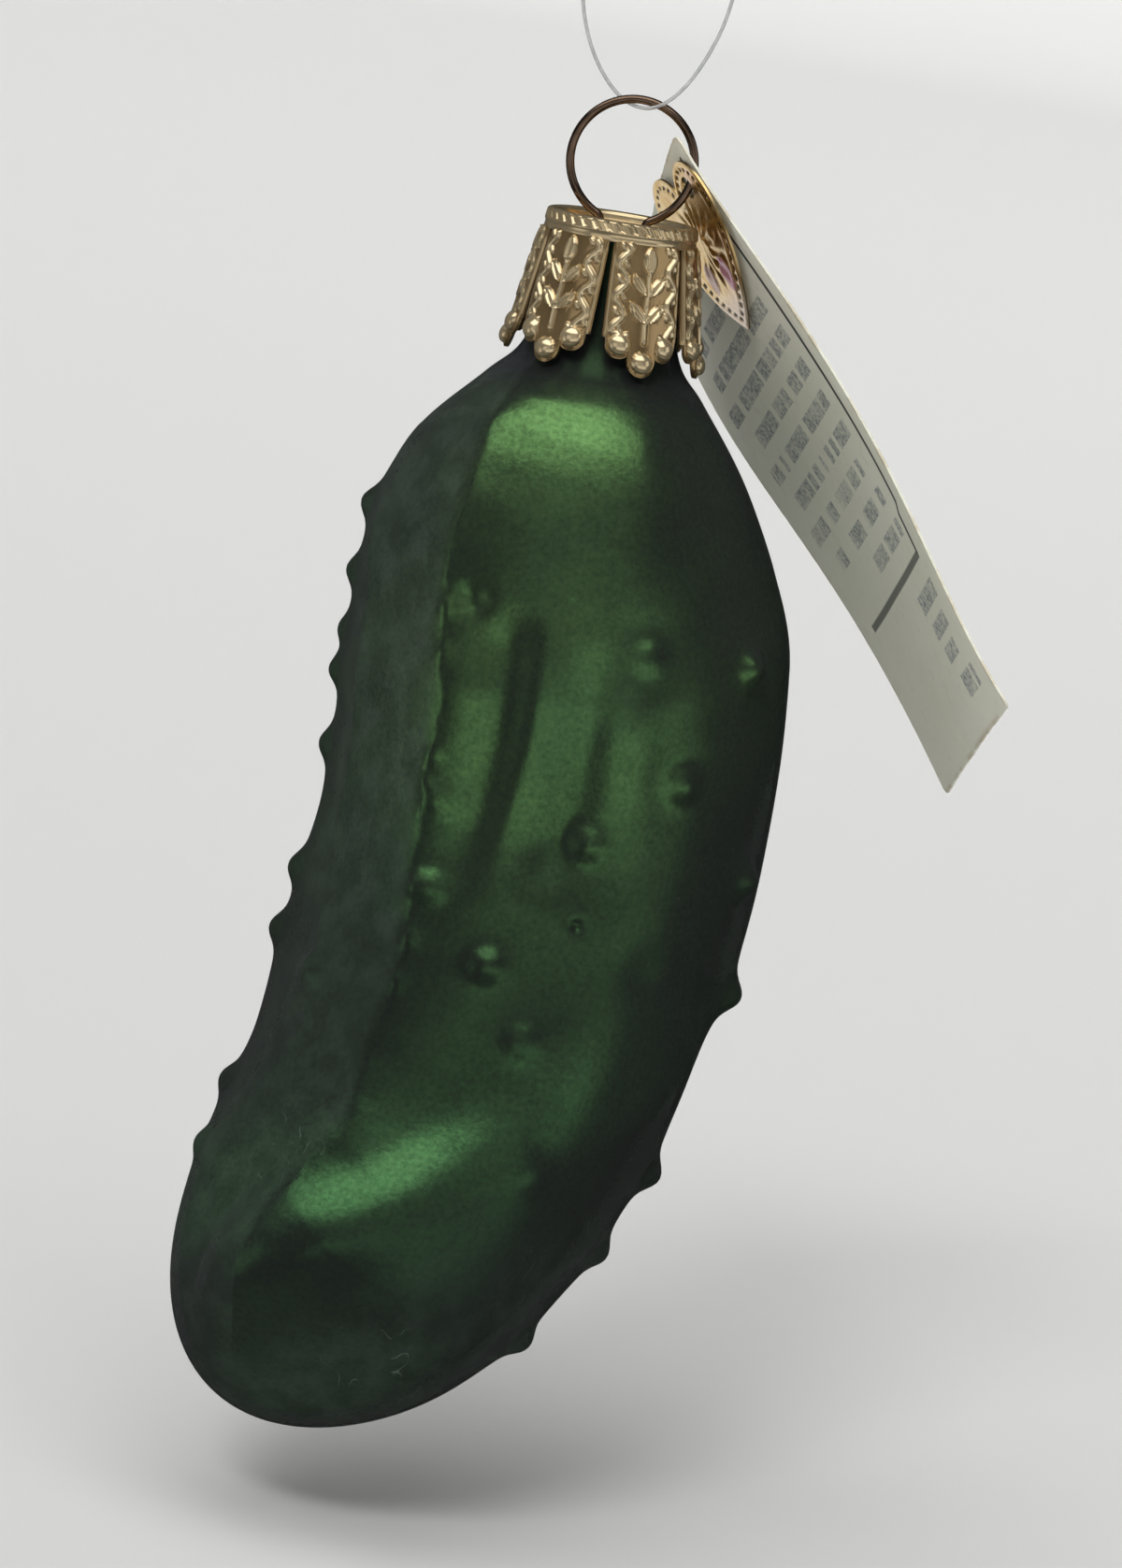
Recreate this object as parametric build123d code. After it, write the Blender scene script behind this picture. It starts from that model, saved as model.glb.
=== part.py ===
from build123d import *
import math
import os

os.makedirs("parts", exist_ok=True)

# Blown-glass pickle ornament, hanging by its thread.
# Frame: origin at the inside top of the wire ring, where the thread carries it;
# +Z up along the neck, +X to the ornament's right as seen from its front, +Y to its back.

# ---------------------------------------------------------------- driving dimensions (mm)
wire_d = 0.69            # hanger wire
ring_r = 4.98            # hanging loop, middle of the wire
ring_cz = -(ring_r - wire_d / 2)
leg_end = (3.5, -18.6)   # lower end of a leg, x and z
bend_r = 0.70            # tight bend between loop and leg
loop_end_x = 2.30        # where the round loop ends

cap_top_z = -9.70        # upper face of the cap's disc
cap_disc_t = 0.40
cap_sheet = 0.36
cap_r_top = 6.02         # outside of the skirt at the top
cap_r_low = 7.90         # outside of the skirt at its lower edge
cap_low_z = -20.95
rim_r, rim_minor, rim_z = 5.72, 0.36, -9.46
petal_count = 6
petal_turn = -65.0       # direction of one petal's middle in the XY plane, degrees
slot_w = 0.85
slot_top_z = -10.75
wire_hole_x, wire_hole_r = 1.87, 0.62
bead_r = 0.62

glass_wall = 0.90
neck_bore_r = 4.15
neck_top_z = -10.45
# the neck and shoulder, turned about Z: outside and inside, radius and height
neck_out = [(5.00, -10.45), (5.05, -14.50), (5.55, -17.50), (6.15, -19.50), (7.12, -21.30), (9.00, -23.20)]
neck_in = [(4.15, -10.45), (4.15, -14.00), (4.60, -17.50), (5.25, -19.50), (6.22, -21.50), (8.10, -23.20)]
# the glass body's round sections, shoulder to lower end: middle, direction of the body there, radius
sections = [
    ((0.00, 0.00, -23.20), (0.000, 0.000, -1.000), 9.00),
    ((-0.13, 0.40, -26.00), (-0.045, 0.163, -0.986), 11.38),
    ((-0.23, 0.85, -29.20), (-0.035, 0.136, -0.990), 13.89),
    ((-0.36, 1.40, -33.00), (-0.005, 0.138, -0.990), 15.56),
    ((-0.07, 2.00, -38.00), (0.107, 0.104, -0.989), 16.75),
    ((0.98, 2.70, -46.00), (0.115, 0.068, -0.991), 18.33),
    ((1.50, 3.00, -55.00), (-0.001, -0.014, -1.000), 18.34),
    ((1.09, 2.50, -63.00), (-0.100, -0.104, -0.990), 18.38),
    ((-0.02, 1.30, -71.00), (-0.161, -0.197, -0.967), 17.98),
    ((-1.43, -0.60, -78.30), (-0.217, -0.295, -0.930), 17.59),
    ((-3.34, -3.00, -84.70), (-0.333, -0.381, -0.863), 16.85),
    ((-5.46, -5.20, -89.30), (-0.427, -0.401, -0.810), 16.12),
    ((-7.72, -7.14, -93.29), (-0.474, -0.384, -0.792), 15.24),
    ((-9.97, -9.00, -96.96), (-0.479, -0.416, -0.773), 13.98),
    ((-11.90, -10.84, -100.11), (-0.449, -0.485, -0.750), 12.21),
    ((-13.31, -12.57, -102.55), (-0.399, -0.564, -0.723), 10.02),
    ((-14.25, -14.07, -104.33), (-0.346, -0.631, -0.694), 7.44),
    ((-14.75, -15.09, -105.39), (-0.307, -0.674, -0.672), 4.83),
]
glass_tip = (-15.05, -15.78, -106.06)
glass_tip_dir = (-0.280, -0.701, -0.656)

thread_d = 0.30
# the thread's route, knot to knot, under the ring's top
route = [
    (-0.35, 0.12, 21.4), (-2.55, 0.30, 19.2), (-4.90, 0.45, 16.0), (-6.30, 0.60, 12.1),
    (-6.20, 0.75, 7.90), (-4.90, 0.85, 3.95), (-3.00, 0.90, 1.20), (-1.00, 0.62, -0.28),
    (1.00, -0.62, -0.30), (2.85, -0.90, 1.25), (4.35, -0.85, 3.85), (5.70, -0.75, 7.70),
    (6.00, -0.60, 11.9), (4.75, -0.45, 15.9), (2.45, -0.30, 19.2), (0.35, -0.12, 21.4),
]
knot_r, knot_h = 0.85, 2.2

foil_t = 0.20
foil_turn = math.radians(-15.0)     # place of the foil tag's hole round the ring
foil_hole_r = 0.95
paper_t = 0.30
paper_w, paper_l = 27.0, 53.6
paper_turn = math.radians(-7.0)     # place of the card's hole round the ring
paper_hole_top, paper_hole_side, paper_hole_r = 3.4, 2.35, 1.10
tag_normal = Vector(-0.7769, -0.3492, -0.5239).normalized()     # the tags' printed side
tag_bend_dir = Vector(0.5935, -0.6838, -0.4244).normalized()    # across the card's bend
paper_bend_turn = -0.492                                        # bend direction in the card, rad
paper_k1, paper_k2, paper_k3 = -0.02204, 0.003207, -0.000151    # the card's gentle S-bend


def on_ring(turn):
    return Vector(ring_r * math.cos(turn), 0, ring_cz + ring_r * math.sin(turn))


# ---------------------------------------------------------------- glass body
def section_plane(m, d):
    x = Vector(math.cos(math.radians(-130)), math.sin(math.radians(-130)), 0)
    x = (x - d * x.dot(d)).normalized()
    return Plane(origin=m, x_dir=x, z_dir=d)


tip = Vector(*glass_tip)
outer = loft([section_plane(Vector(*m), Vector(*d).normalized()) * Circle(r) for m, d, r in sections]
             + [Vertex(tip.X, tip.Y, tip.Z)])
inner_tip = tip - Vector(*glass_tip_dir).normalized() * glass_wall
end_share = [0.20, 0.38, 0.55, 0.70, 0.82, 0.91, 0.965]     # how far along the rounded end its sections are
inner_rings = [section_plane(Vector(0, 0, -21.6), Vector(0, 0, -1)) * Circle(6.30)]     # starts above the body, in the neck
for i, (m, d, r) in enumerate(sections[:-1]):
    m, d = Vector(*m), Vector(*d).normalized()
    if i < 11:
        inner_rings.append(section_plane(m, d) * Circle(r - glass_wall))
    else:
        inner_rings.append(section_plane(m - d * (glass_wall * end_share[i - 11]), d) * Circle(r * (1 - glass_wall / 16.85)))
inner = loft(inner_rings + [Vertex(inner_tip.X, inner_tip.Y, inner_tip.Z)])

with BuildPart() as neck_b:
    with BuildSketch(Plane.XZ):
        with BuildLine():
            Spline(*neck_out)
            Spline(*neck_in)
            Line(neck_out[0], neck_in[0])
            Line(neck_out[-1], neck_in[-1])
        make_face()
    revolve(axis=Axis.Z)
neck = neck_b.part

glass = outer - inner
glass = glass + neck
print("glass volume", round(glass.volume, 1), "centre", glass.center())

# ---------------------------------------------------------------- cap
disc = Pos(0, 0, cap_top_z - cap_disc_t / 2) * Cylinder(cap_r_top - 0.15, cap_disc_t)
rim = Pos(0, 0, rim_z) * Torus(rim_r, rim_minor)
with BuildPart() as skirt_b:
    with BuildSketch(Plane.XZ):
        with BuildLine():
            Polyline((cap_r_top, -9.60), (cap_r_low, cap_low_z), (cap_r_low - cap_sheet, cap_low_z),
                     (cap_r_top - cap_sheet, -9.60), close=True)
        make_face()
    revolve(axis=Axis.Z)
skirt = skirt_b.part


def skirt_r(z):
    return cap_r_top + (cap_r_low - cap_r_top) * (-9.60 - z) / (-9.60 - cap_low_z)


pitch = 360.0 / petal_count
lobes = [(-1.95, -18.55, 1.15), (1.95, -18.55, 1.15), (0.0, -19.80, 1.15)]
beads = []
for k in range(petal_count):
    a = petal_turn + k * pitch
    slot = Rot(0, 0, a + pitch / 2) * Pos(7.0, 0, (slot_top_z - 23.0) / 2) * Box(6.0, slot_w, slot_top_z + 23.0)
    skirt = skirt - slot
    # the scalloped end of one petal: everything below the three round lobes goes
    keep = Pos(7.0, 0, -16.0) * Box(6.0, 9.0, 5.10)
    keep = keep + Pos(7.0, 0, -18.7) * Box(6.0, 2.6, 2.4)
    for y, z, r in lobes:
        keep = keep + Pos(7.0, y, z) * Rot(0, 90, 0) * Cylinder(r, 6.0)
    trim = Pos(7.0, 0, -19.0) * Box(5.0, 8.4, 5.6) - keep
    skirt = skirt - Rot(0, 0, a) * trim
    for y, z, r in lobes:
        rr = math.sqrt(max(skirt_r(z) ** 2 - y * y, 1.0)) - 0.12
        beads.append(Rot(0, 0, a) * Pos(rr, y, z) * Sphere(bead_r))
cap = skirt + disc + rim + beads
# the beads stay out of the cap's inside
cavity = Solid.revolve(
    Face(Wire.make_polygon([(0, 0, cap_top_z - cap_disc_t), (cap_r_top - cap_sheet, 0, cap_top_z - cap_disc_t),
                            (cap_r_low - cap_sheet, 0, cap_low_z), (cap_r_low - cap_sheet, 0, cap_low_z - 1.0),
                            (0, 0, cap_low_z - 1.0)])), 360, Axis.Z)
cap = cap - cavity
for sx in (-1, 1):
    cap = cap - Pos(sx * wire_hole_x, 0, cap_top_z) * Cylinder(wire_hole_r, 3.0)

# ---------------------------------------------------------------- hanger wire
ex, ez = loop_end_x, ring_cz - math.sqrt(ring_r**2 - loop_end_x**2)
tdir = Vector(-math.sqrt(ring_r**2 - loop_end_x**2), 0, -loop_end_x).normalized()   # heading in and down
corner = Vector(ex, 0, ez) + tdir * 0.62
foot = Vector(leg_end[0], 0, leg_end[1])
leg_dir = (foot - corner).normalized()
half = math.radians(tdir.get_angle(leg_dir)) / 2
tan_len = bend_r * math.tan(half)
b0, b1 = corner - tdir * tan_len, corner + leg_dir * tan_len
bis = (leg_dir - tdir).normalized()
bend_c = corner + bis * (bend_r / math.cos(half))
b_mid = bend_c - bis * bend_r


def mx(v):
    return Vector(-v.X, v.Y, v.Z)


ring_top = Vector(0, 0, ring_cz + ring_r)
end_r_pt = Vector(ex, 0, ez)
path_edges = [
    Line(foot, b1), ThreePointArc(b1, b_mid, b0), Line(b0, end_r_pt),
    ThreePointArc(end_r_pt, Vector(ring_r, 0, ring_cz), ring_top),
    ThreePointArc(ring_top, Vector(-ring_r, 0, ring_cz), mx(end_r_pt)),
    Line(mx(end_r_pt), mx(b0)), ThreePointArc(mx(b0), mx(b_mid), mx(b1)), Line(mx(b1), mx(foot)),
]
wire_path = Wire([e.edge() for e in path_edges])
wire_start = Plane(origin=foot, z_dir=(b1 - foot).normalized())
hanger = sweep(wire_start * Circle(wire_d / 2), path=wire_path)
print("wire volume", round(hanger.volume, 3), "of", round(math.pi * wire_d**2 / 4 * wire_path.length, 3))

# ---------------------------------------------------------------- tags
tag_b = tag_normal.cross(tag_bend_dir) * -1      # along the card's bend axis
if tag_b.Y < 0:
    tag_b = tag_b * -1
ca, sa = math.cos(paper_bend_turn), math.sin(paper_bend_turn)
card_down = (tag_bend_dir * ca - tag_b * sa).normalized()    # along the card, away from its hole
card_side = (tag_bend_dir * sa + tag_b * ca).normalized()    # across the card, to the back

# card: gently bent sheet, in a plane with x across the bend and y along the printed side's normal
p_hole = on_ring(paper_turn)


def bend_profile():
    pts, x, y, a, step = [], 0.0, 0.0, 0.0, 0.05
    for sign, far in ((1, 50.0), (-1, 17.0)):
        x = y = a = 0.0
        run = []
        while a <= far + 1e-9:
            s = a * sign
            th = paper_k1 * s + (paper_k2 * s * s / 2 + paper_k3 * s**3 / 6 if s > 0 else 0.0)
            if abs(a / 2.5 - round(a / 2.5)) < 1e-6:
                run.append((s, x, y, th))
            x += sign * step * math.cos(th)
            y += sign * step * math.sin(th)
            a += step
        pts = (list(reversed(run[1:])) + pts) if sign < 0 else run
    return pts


prof = bend_profile()
up = [(x - math.sin(t) * paper_t / 2, y + math.cos(t) * paper_t / 2) for s, x, y, t in prof]
dn = [(x + math.sin(t) * paper_t / 2, y - math.cos(t) * paper_t / 2) for s, x, y, t in prof]
card_plane = Plane(origin=p_hole, x_dir=tag_bend_dir, z_dir=tag_bend_dir.cross(tag_normal))
zsign = 1.0 if card_plane.z_dir.dot(tag_b) > 0 else -1.0
with BuildPart() as strip_b:
    with BuildSketch(card_plane.offset(-60)):
        with BuildLine():
            s1 = Spline(*up)
            s2 = Spline(*dn)
            Line(s1 @ 0, s2 @ 0)
            Line(s1 @ 1, s2 @ 1)
        make_face()
    extrude(amount=120)
strip = strip_b.part


def bent(u, v):
    """Foot of a card point on the tangent plane at the hole: u across from the front edge, v down from the top."""
    uu, vv = u - paper_hole_side, v - paper_hole_top
    a, b = vv * ca + uu * sa, -vv * sa + uu * ca
    near = min(prof, key=lambda q: abs(q[0] - a))
    x = near[1] + (a - near[0]) * math.cos(near[3])
    return (x, b)


outline = [(0.0, 1.0), (1.0, 0.0), (paper_w - 1.0, 0.0), (paper_w, 1.0), (paper_w, paper_l - 0.6), (paper_w - 0.6, paper_l),
           (0.6, paper_l), (0.0, paper_l - 0.6)]
flat_plane = Plane(origin=p_hole, x_dir=tag_bend_dir, z_dir=tag_normal)
ysign = 1.0 if flat_plane.y_dir.dot(tag_b) > 0 else -1.0
pts2 = [bent(u, v) for u, v in outline]
with BuildPart() as card_b:
    with BuildSketch(flat_plane.offset(-15)):
        with BuildLine():
            Polyline(*[(x, y * ysign) for x, y in pts2], close=True)
        make_face()
    extrude(amount=30)
paper = strip & card_b.part
paper = paper - flat_plane * Cylinder(paper_hole_r, 6.0)
print("card volume", round(paper.volume, 2), "of", round(paper_w * paper_l * paper_t, 2))

# heart-shaped foil, in the tags' plane, hole in its front lobe
f_hole = on_ring(foil_turn)
heart_down = (Vector(0, 0, -1) - tag_normal * Vector(0, 0, -1).dot(tag_normal)).normalized()
heart_near = tag_normal.cross(heart_down).normalized()
if heart_near.Y > 0:
    heart_near = heart_near * -1
axis_up = (heart_near * -0.378 - heart_down * 0.926).normalized()      # tip to notch
axis_side = (heart_near * 0.926 - heart_down * 0.378).normalized()     # to the front lobe
hole_e, hole_f = 12.1, 3.2                                             # hole from the tip: up, to the front lobe
tip_pt = f_hole - axis_up * hole_e - axis_side * hole_f
heart_plane = Plane(origin=tip_pt, x_dir=axis_side, z_dir=axis_side.cross(axis_up))
with BuildPart() as heart_b:
    with BuildSketch(heart_plane.offset(-foil_t / 2)):
        with BuildLine():
            Spline((0.0, 0.0), (2.4, 1.75), (4.9, 4.5), (6.6, 8.0), (6.75, 10.9), (5.6, 13.3), (3.5, 14.35), (1.5, 13.9), (0.0, 12.3))
            Spline((0.0, 12.3), (-1.5, 13.9), (-3.5, 14.35), (-5.6, 13.3), (-6.75, 10.9), (-6.6, 8.0), (-4.9, 4.5), (-2.4, 1.75), (0.0, 0.0))
        make_face()
    extrude(amount=foil_t)
foil = heart_b.part - Plane(origin=f_hole, x_dir=axis_side, z_dir=heart_plane.z_dir) * Cylinder(foil_hole_r, 4.0)

# ---------------------------------------------------------------- thread
pts = [Vector(*p) for p in route]
radii = []
for p0, p1, p2 in zip(pts[:-2], pts[1:-1], pts[2:]):
    u, v = p1 - p0, p2 - p1
    turn = math.radians(u.get_angle(v))
    radii.append(0.45 * min(u.length, v.length) / math.tan(turn / 2))
print("thread radii", [round(r, 2) for r in radii])
thread_line = FilletPolyline(*pts, radius=radii)
thread_start = Plane(origin=pts[0], z_dir=(pts[1] - pts[0]).normalized())
thread = sweep(thread_start * Circle(thread_d / 2), path=thread_line)
print("thread volume", round(thread.volume, 3), "of", round(math.pi * thread_d**2 / 4 * thread_line.length, 3),
      "length", round(thread_line.length, 2))

# the knot: a small tight barrel, with the thread's two ends in it
with BuildPart() as knot_b:
    with BuildSketch(Plane.XZ):
        with BuildLine():
            kz = 21.3
            Polyline((0, kz), (knot_r * 0.72, kz), (knot_r, kz + knot_h * 0.25), (knot_r, kz + knot_h * 0.7), (knot_r * 0.6, kz + knot_h), (0, kz + knot_h), close=True)
        make_face()
    revolve(axis=Axis.Z)
knot = knot_b.part - thread

# ---------------------------------------------------------------- write
nodes = {
    "glass_body": glass, "cap": cap, "hanger_wire": hanger, "foil_tag": foil, "paper_tag": paper,
    "thread_loop": thread, "thread_knot": knot,
}
for name, shape in nodes.items():
    shape.label = name
    export_step(shape, f"parts/{name}.step")
    print(name, "solids", len(shape.solids()), "volume", round(shape.volume, 2), "valid", shape.is_valid)
for label, v in (("card_down", card_down), ("card_side", card_side), ("card bend axis", tag_b), ("paper hole", p_hole), ("foil hole", f_hole),
                 ("heart axis", axis_up), ("heart side", axis_side)):
    print(label, [round(c, 4) for c in v])
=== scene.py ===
import bpy
import bmesh
import math
import numpy as np
from mathutils import Matrix, Vector
from mathutils.geometry import delaunay_2d_cdt


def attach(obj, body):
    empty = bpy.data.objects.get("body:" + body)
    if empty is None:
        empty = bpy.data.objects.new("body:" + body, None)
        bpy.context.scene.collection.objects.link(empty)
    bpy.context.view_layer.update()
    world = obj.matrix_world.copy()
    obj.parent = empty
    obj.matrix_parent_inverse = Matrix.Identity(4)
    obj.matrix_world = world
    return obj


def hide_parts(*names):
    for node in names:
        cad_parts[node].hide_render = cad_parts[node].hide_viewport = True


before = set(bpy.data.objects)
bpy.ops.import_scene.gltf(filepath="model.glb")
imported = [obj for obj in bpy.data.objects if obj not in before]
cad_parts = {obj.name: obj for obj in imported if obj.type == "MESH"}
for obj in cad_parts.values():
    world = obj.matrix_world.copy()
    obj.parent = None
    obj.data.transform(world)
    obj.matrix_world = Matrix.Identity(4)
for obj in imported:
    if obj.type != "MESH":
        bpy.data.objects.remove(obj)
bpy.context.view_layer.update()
MM = 0.001
rng = np.random.default_rng(7)


# ------------------------------------------------------------------ small helpers
def unit(v):
    v = np.asarray(v, float)
    return v / np.maximum(np.linalg.norm(v, axis=-1, keepdims=True), 1e-12)


def smooth01(x):
    x = np.clip(x, 0.0, 1.0)
    return x * x * (3 - 2 * x)


def spline(xs, ys):
    """Natural cubic spline through (xs, ys), as a function; ys may have several columns."""
    xs, ys = np.asarray(xs, float), np.asarray(ys, float)
    flat = ys.ndim == 1
    if flat:
        ys = ys[:, None]
    n = len(xs)
    h = np.diff(xs)
    a = np.zeros((n, n))
    b = np.zeros((n, ys.shape[1]))
    a[0, 0] = a[-1, -1] = 1.0
    for i in range(1, n - 1):
        a[i, i - 1], a[i, i], a[i, i + 1] = h[i - 1], 2 * (h[i - 1] + h[i]), h[i]
        b[i] = 6 * ((ys[i + 1] - ys[i]) / h[i] - (ys[i] - ys[i - 1]) / h[i - 1])
    m = np.linalg.solve(a, b)

    def f(x):
        x = np.atleast_1d(np.asarray(x, float))
        i = np.clip(np.searchsorted(xs, x, side="right") - 1, 0, n - 2)
        t0, t1, hh = xs[i + 1] - x, x - xs[i], h[i]
        out = ((m[i] * (t0**3)[:, None] + m[i + 1] * (t1**3)[:, None]) / (6 * hh)[:, None]
               + (ys[i] / hh[:, None] - m[i] * hh[:, None] / 6) * t0[:, None]
               + (ys[i + 1] / hh[:, None] - m[i + 1] * hh[:, None] / 6) * t1[:, None])
        return out[:, 0] if flat else out

    return f


def new_mesh(name, verts_mm, faces, body=None, smooth=True):
    me = bpy.data.meshes.new(name)
    me.from_pydata([tuple(v) for v in np.asarray(verts_mm, float) * MM], [], [list(map(int, f)) for f in faces])
    me.validate()
    me.update()
    if smooth:
        me.polygons.foreach_set("use_smooth", [True] * len(me.polygons))
    ob = bpy.data.objects.new(name, me)
    bpy.context.scene.collection.objects.link(ob)
    return ob


def grid_faces(nr, nc, wrap=True, start=0, flip=False):
    f = []
    for i in range(nr - 1):
        for j in range(nc if wrap else nc - 1):
            k = (j + 1) % nc
            q = [start + i * nc + j, start + i * nc + k, start + (i + 1) * nc + k, start + (i + 1) * nc + j]
            f.append(q[::-1] if flip else q)
    return f


def set_attr(ob, name, values):
    at = ob.data.attributes.new(name, "FLOAT", "POINT")
    at.data.foreach_set("value", np.asarray(values, np.float32))


def sweep(points, radius, sides=20, cap=True, name="sweep", round_ends=False):
    """Tube along points (mm), with parallel-carried frames; radius may be a number or one per point."""
    p = np.asarray(points, float)
    r = np.full(len(p), radius, float) if np.isscalar(radius) else np.asarray(radius, float)
    t = unit(np.gradient(p, axis=0))
    n = np.cross(t[0], (0.0, 1.0, 0.0))
    if np.linalg.norm(n) < 1e-3:
        n = np.cross(t[0], (1.0, 0.0, 0.0))
    n = unit(n)
    rings = []
    ang = np.linspace(0, 2 * math.pi, sides, endpoint=False)
    for i in range(len(p)):
        n = unit(n - t[i] * np.dot(n, t[i]))
        b = np.cross(t[i], n)
        rings.append(p[i] + r[i] * (np.cos(ang)[:, None] * n + np.sin(ang)[:, None] * b))
    v = np.vstack(rings)
    f = grid_faces(len(p), sides)
    if cap:
        v = np.vstack([v, p[:1], p[-1:]])
        a, z = len(v) - 2, len(v) - 1
        last = (len(p) - 1) * sides
        for j in range(sides):
            k = (j + 1) % sides
            f.append([a, k, j])
            f.append([z, last + j, last + k])
    return v, f


# ------------------------------------------------------------------ node helpers
class Mat:
    """A material with a Principled shader, and short ways to add nodes."""

    def __init__(self, name):
        self.m = bpy.data.materials.new(name)
        self.m.use_nodes = True
        self.nt = self.m.node_tree
        self.bsdf = self.nt.nodes["Principled BSDF"]

    def node(self, kind, **props):
        n = self.nt.nodes.new(kind)
        for k, v in props.items():
            setattr(n, k, v)
        return n

    def link(self, a, b):
        self.nt.links.new(a, b)

    def val(self, sock, v):
        if isinstance(v, bpy.types.NodeSocket):
            self.link(v, sock)
        else:
            sock.default_value = v

    def math(self, op, a, b=None, c=None, clamp=False):
        n = self.node("ShaderNodeMath", operation=op, use_clamp=clamp)
        for i, x in enumerate((a, b, c)):
            if x is not None:
                self.val(n.inputs[i], x)
        return n.outputs[0]

    def vmath(self, op, a, b=None, out=0):
        n = self.node("ShaderNodeVectorMath", operation=op)
        self.val(n.inputs[0], a)
        if b is not None:
            self.val(n.inputs[1], b)
        return n.outputs[out]

    def coords(self, kind="Object"):
        return self.node("ShaderNodeTexCoord").outputs[kind]

    def attr(self, name, out="Fac"):
        return self.node("ShaderNodeAttribute", attribute_name=name).outputs[out]

    def noise(self, scale, detail=4.0, rough=0.55, vec=None, distortion=0.0, out="Fac"):
        n = self.node("ShaderNodeTexNoise")
        n.inputs["Scale"].default_value = scale
        n.inputs["Detail"].default_value = detail
        n.inputs["Roughness"].default_value = rough
        n.inputs["Distortion"].default_value = distortion
        self.link(vec if vec is not None else self.coords(), n.inputs["Vector"])
        return n.outputs[out]

    def ramp(self, fac, stops, interp="LINEAR"):
        n = self.node("ShaderNodeValToRGB")
        n.color_ramp.interpolation = interp
        e = n.color_ramp.elements
        while len(e) < len(stops):
            e.new(0.5)
        for el, (p, c) in zip(e, stops):
            el.position = p
            el.color = (c, c, c, 1) if np.isscalar(c) else (*c[:3], 1)
        self.link(fac, n.inputs[0])
        return n.outputs[0]

    def mix(self, fac, a, b):
        n = self.node("ShaderNodeMix", data_type="RGBA")
        self.val(n.inputs[0], fac)
        for s, x in ((n.inputs[6], a), (n.inputs[7], b)):
            self.val(s, x if isinstance(x, bpy.types.NodeSocket) else (*x[:3], 1.0))
        return n.outputs[2]

    def mixf(self, fac, a, b):
        n = self.node("ShaderNodeMix", data_type="FLOAT")
        self.val(n.inputs[0], fac)
        self.val(n.inputs[2], a)
        self.val(n.inputs[3], b)
        return n.outputs[0]

    def smooth(self, x, lo, hi):
        n = self.node("ShaderNodeMapRange", interpolation_type="SMOOTHSTEP")
        self.val(n.inputs["Value"], x)
        n.inputs["From Min"].default_value, n.inputs["From Max"].default_value = lo, hi
        n.inputs["To Min"].default_value, n.inputs["To Max"].default_value = 0.0, 1.0
        return n.outputs[0]

    def bump(self, height, strength, distance, normal=None):
        n = self.node("ShaderNodeBump")
        n.inputs["Strength"].default_value = strength
        n.inputs["Distance"].default_value = distance
        self.link(height, n.inputs["Height"])
        if normal is not None:
            self.link(normal, n.inputs["Normal"])
        return n.outputs[0]

    def set(self, **kw):
        for k, v in kw.items():
            self.val(self.bsdf.inputs[k.replace("_", " ")], v if isinstance(v, (bpy.types.NodeSocket, int, float)) else ((*v, 1.0) if len(v) == 3 and k not in ("Normal",) else v))


# ------------------------------------------------------------------ camera
ROLL, EL = math.radians(9.2), math.radians(10.0)
CAM = Vector((2.3288, -443.1635, 22.6452)) * MM
fwd = Vector((0.0, math.cos(EL), -math.sin(EL)))
right0 = Vector((1.0, 0.0, 0.0))
up0 = right0.cross(fwd)
right = right0 * math.cos(ROLL) + up0 * math.sin(ROLL)
up = up0 * math.cos(ROLL) - right0 * math.sin(ROLL)
cam_data = bpy.data.cameras.new("camera")
cam_data.sensor_fit = "VERTICAL"
cam_data.sensor_height = 36.0
cam_data.sensor_width = 36.0
cam_data.lens = 126.55
cam_data.clip_start, cam_data.clip_end = 0.01, 50.0
camera = bpy.data.objects.new("camera", cam_data)
bpy.context.scene.collection.objects.link(camera)
camera.matrix_world = Matrix((
    (right.x, up.x, -fwd.x, CAM.x), (right.y, up.y, -fwd.y, CAM.y), (right.z, up.z, -fwd.z, CAM.z), (0, 0, 0, 1)))
bpy.context.scene.camera = camera


# ------------------------------------------------------------------ glass body
def not_a_knot(xs, ys):
    """Cubic spline through points, with the end pieces sharing one cubic; returns value and slope functions."""
    xs, ys = np.asarray(xs, float), np.asarray(ys, float)
    n, h = len(xs), np.diff(np.asarray(xs, float))
    a, b = np.zeros((n, n)), np.zeros((n, ys.shape[1]))
    a[0, :3] = (h[1], -(h[0] + h[1]), h[0])
    a[-1, -3:] = (h[-1], -(h[-2] + h[-1]), h[-2])
    for i in range(1, n - 1):
        a[i, i - 1], a[i, i], a[i, i + 1] = h[i - 1], 2 * (h[i - 1] + h[i]), h[i]
        b[i] = 6 * ((ys[i + 1] - ys[i]) / h[i] - (ys[i] - ys[i - 1]) / h[i - 1])
    m = np.linalg.solve(a, b)

    def at(x):
        x = np.atleast_1d(np.asarray(x, float))
        i = np.clip(np.searchsorted(xs, x, side="right") - 1, 0, n - 2)
        t0, t1, hh = (xs[i + 1] - x)[:, None], (x - xs[i])[:, None], h[i][:, None]
        return ((m[i] * t0**3 + m[i + 1] * t1**3) / (6 * hh) + (ys[i] / hh - m[i] * hh / 6) * t0
                + (ys[i + 1] / hh - m[i + 1] * hh / 6) * t1)

    def slope(x, e=1e-3):
        return (at(np.clip(np.atleast_1d(x) + e, xs[0], xs[-1])) - at(np.clip(np.atleast_1d(x) - e, xs[0], xs[-1]))) / (2 * e)

    return at, slope


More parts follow.
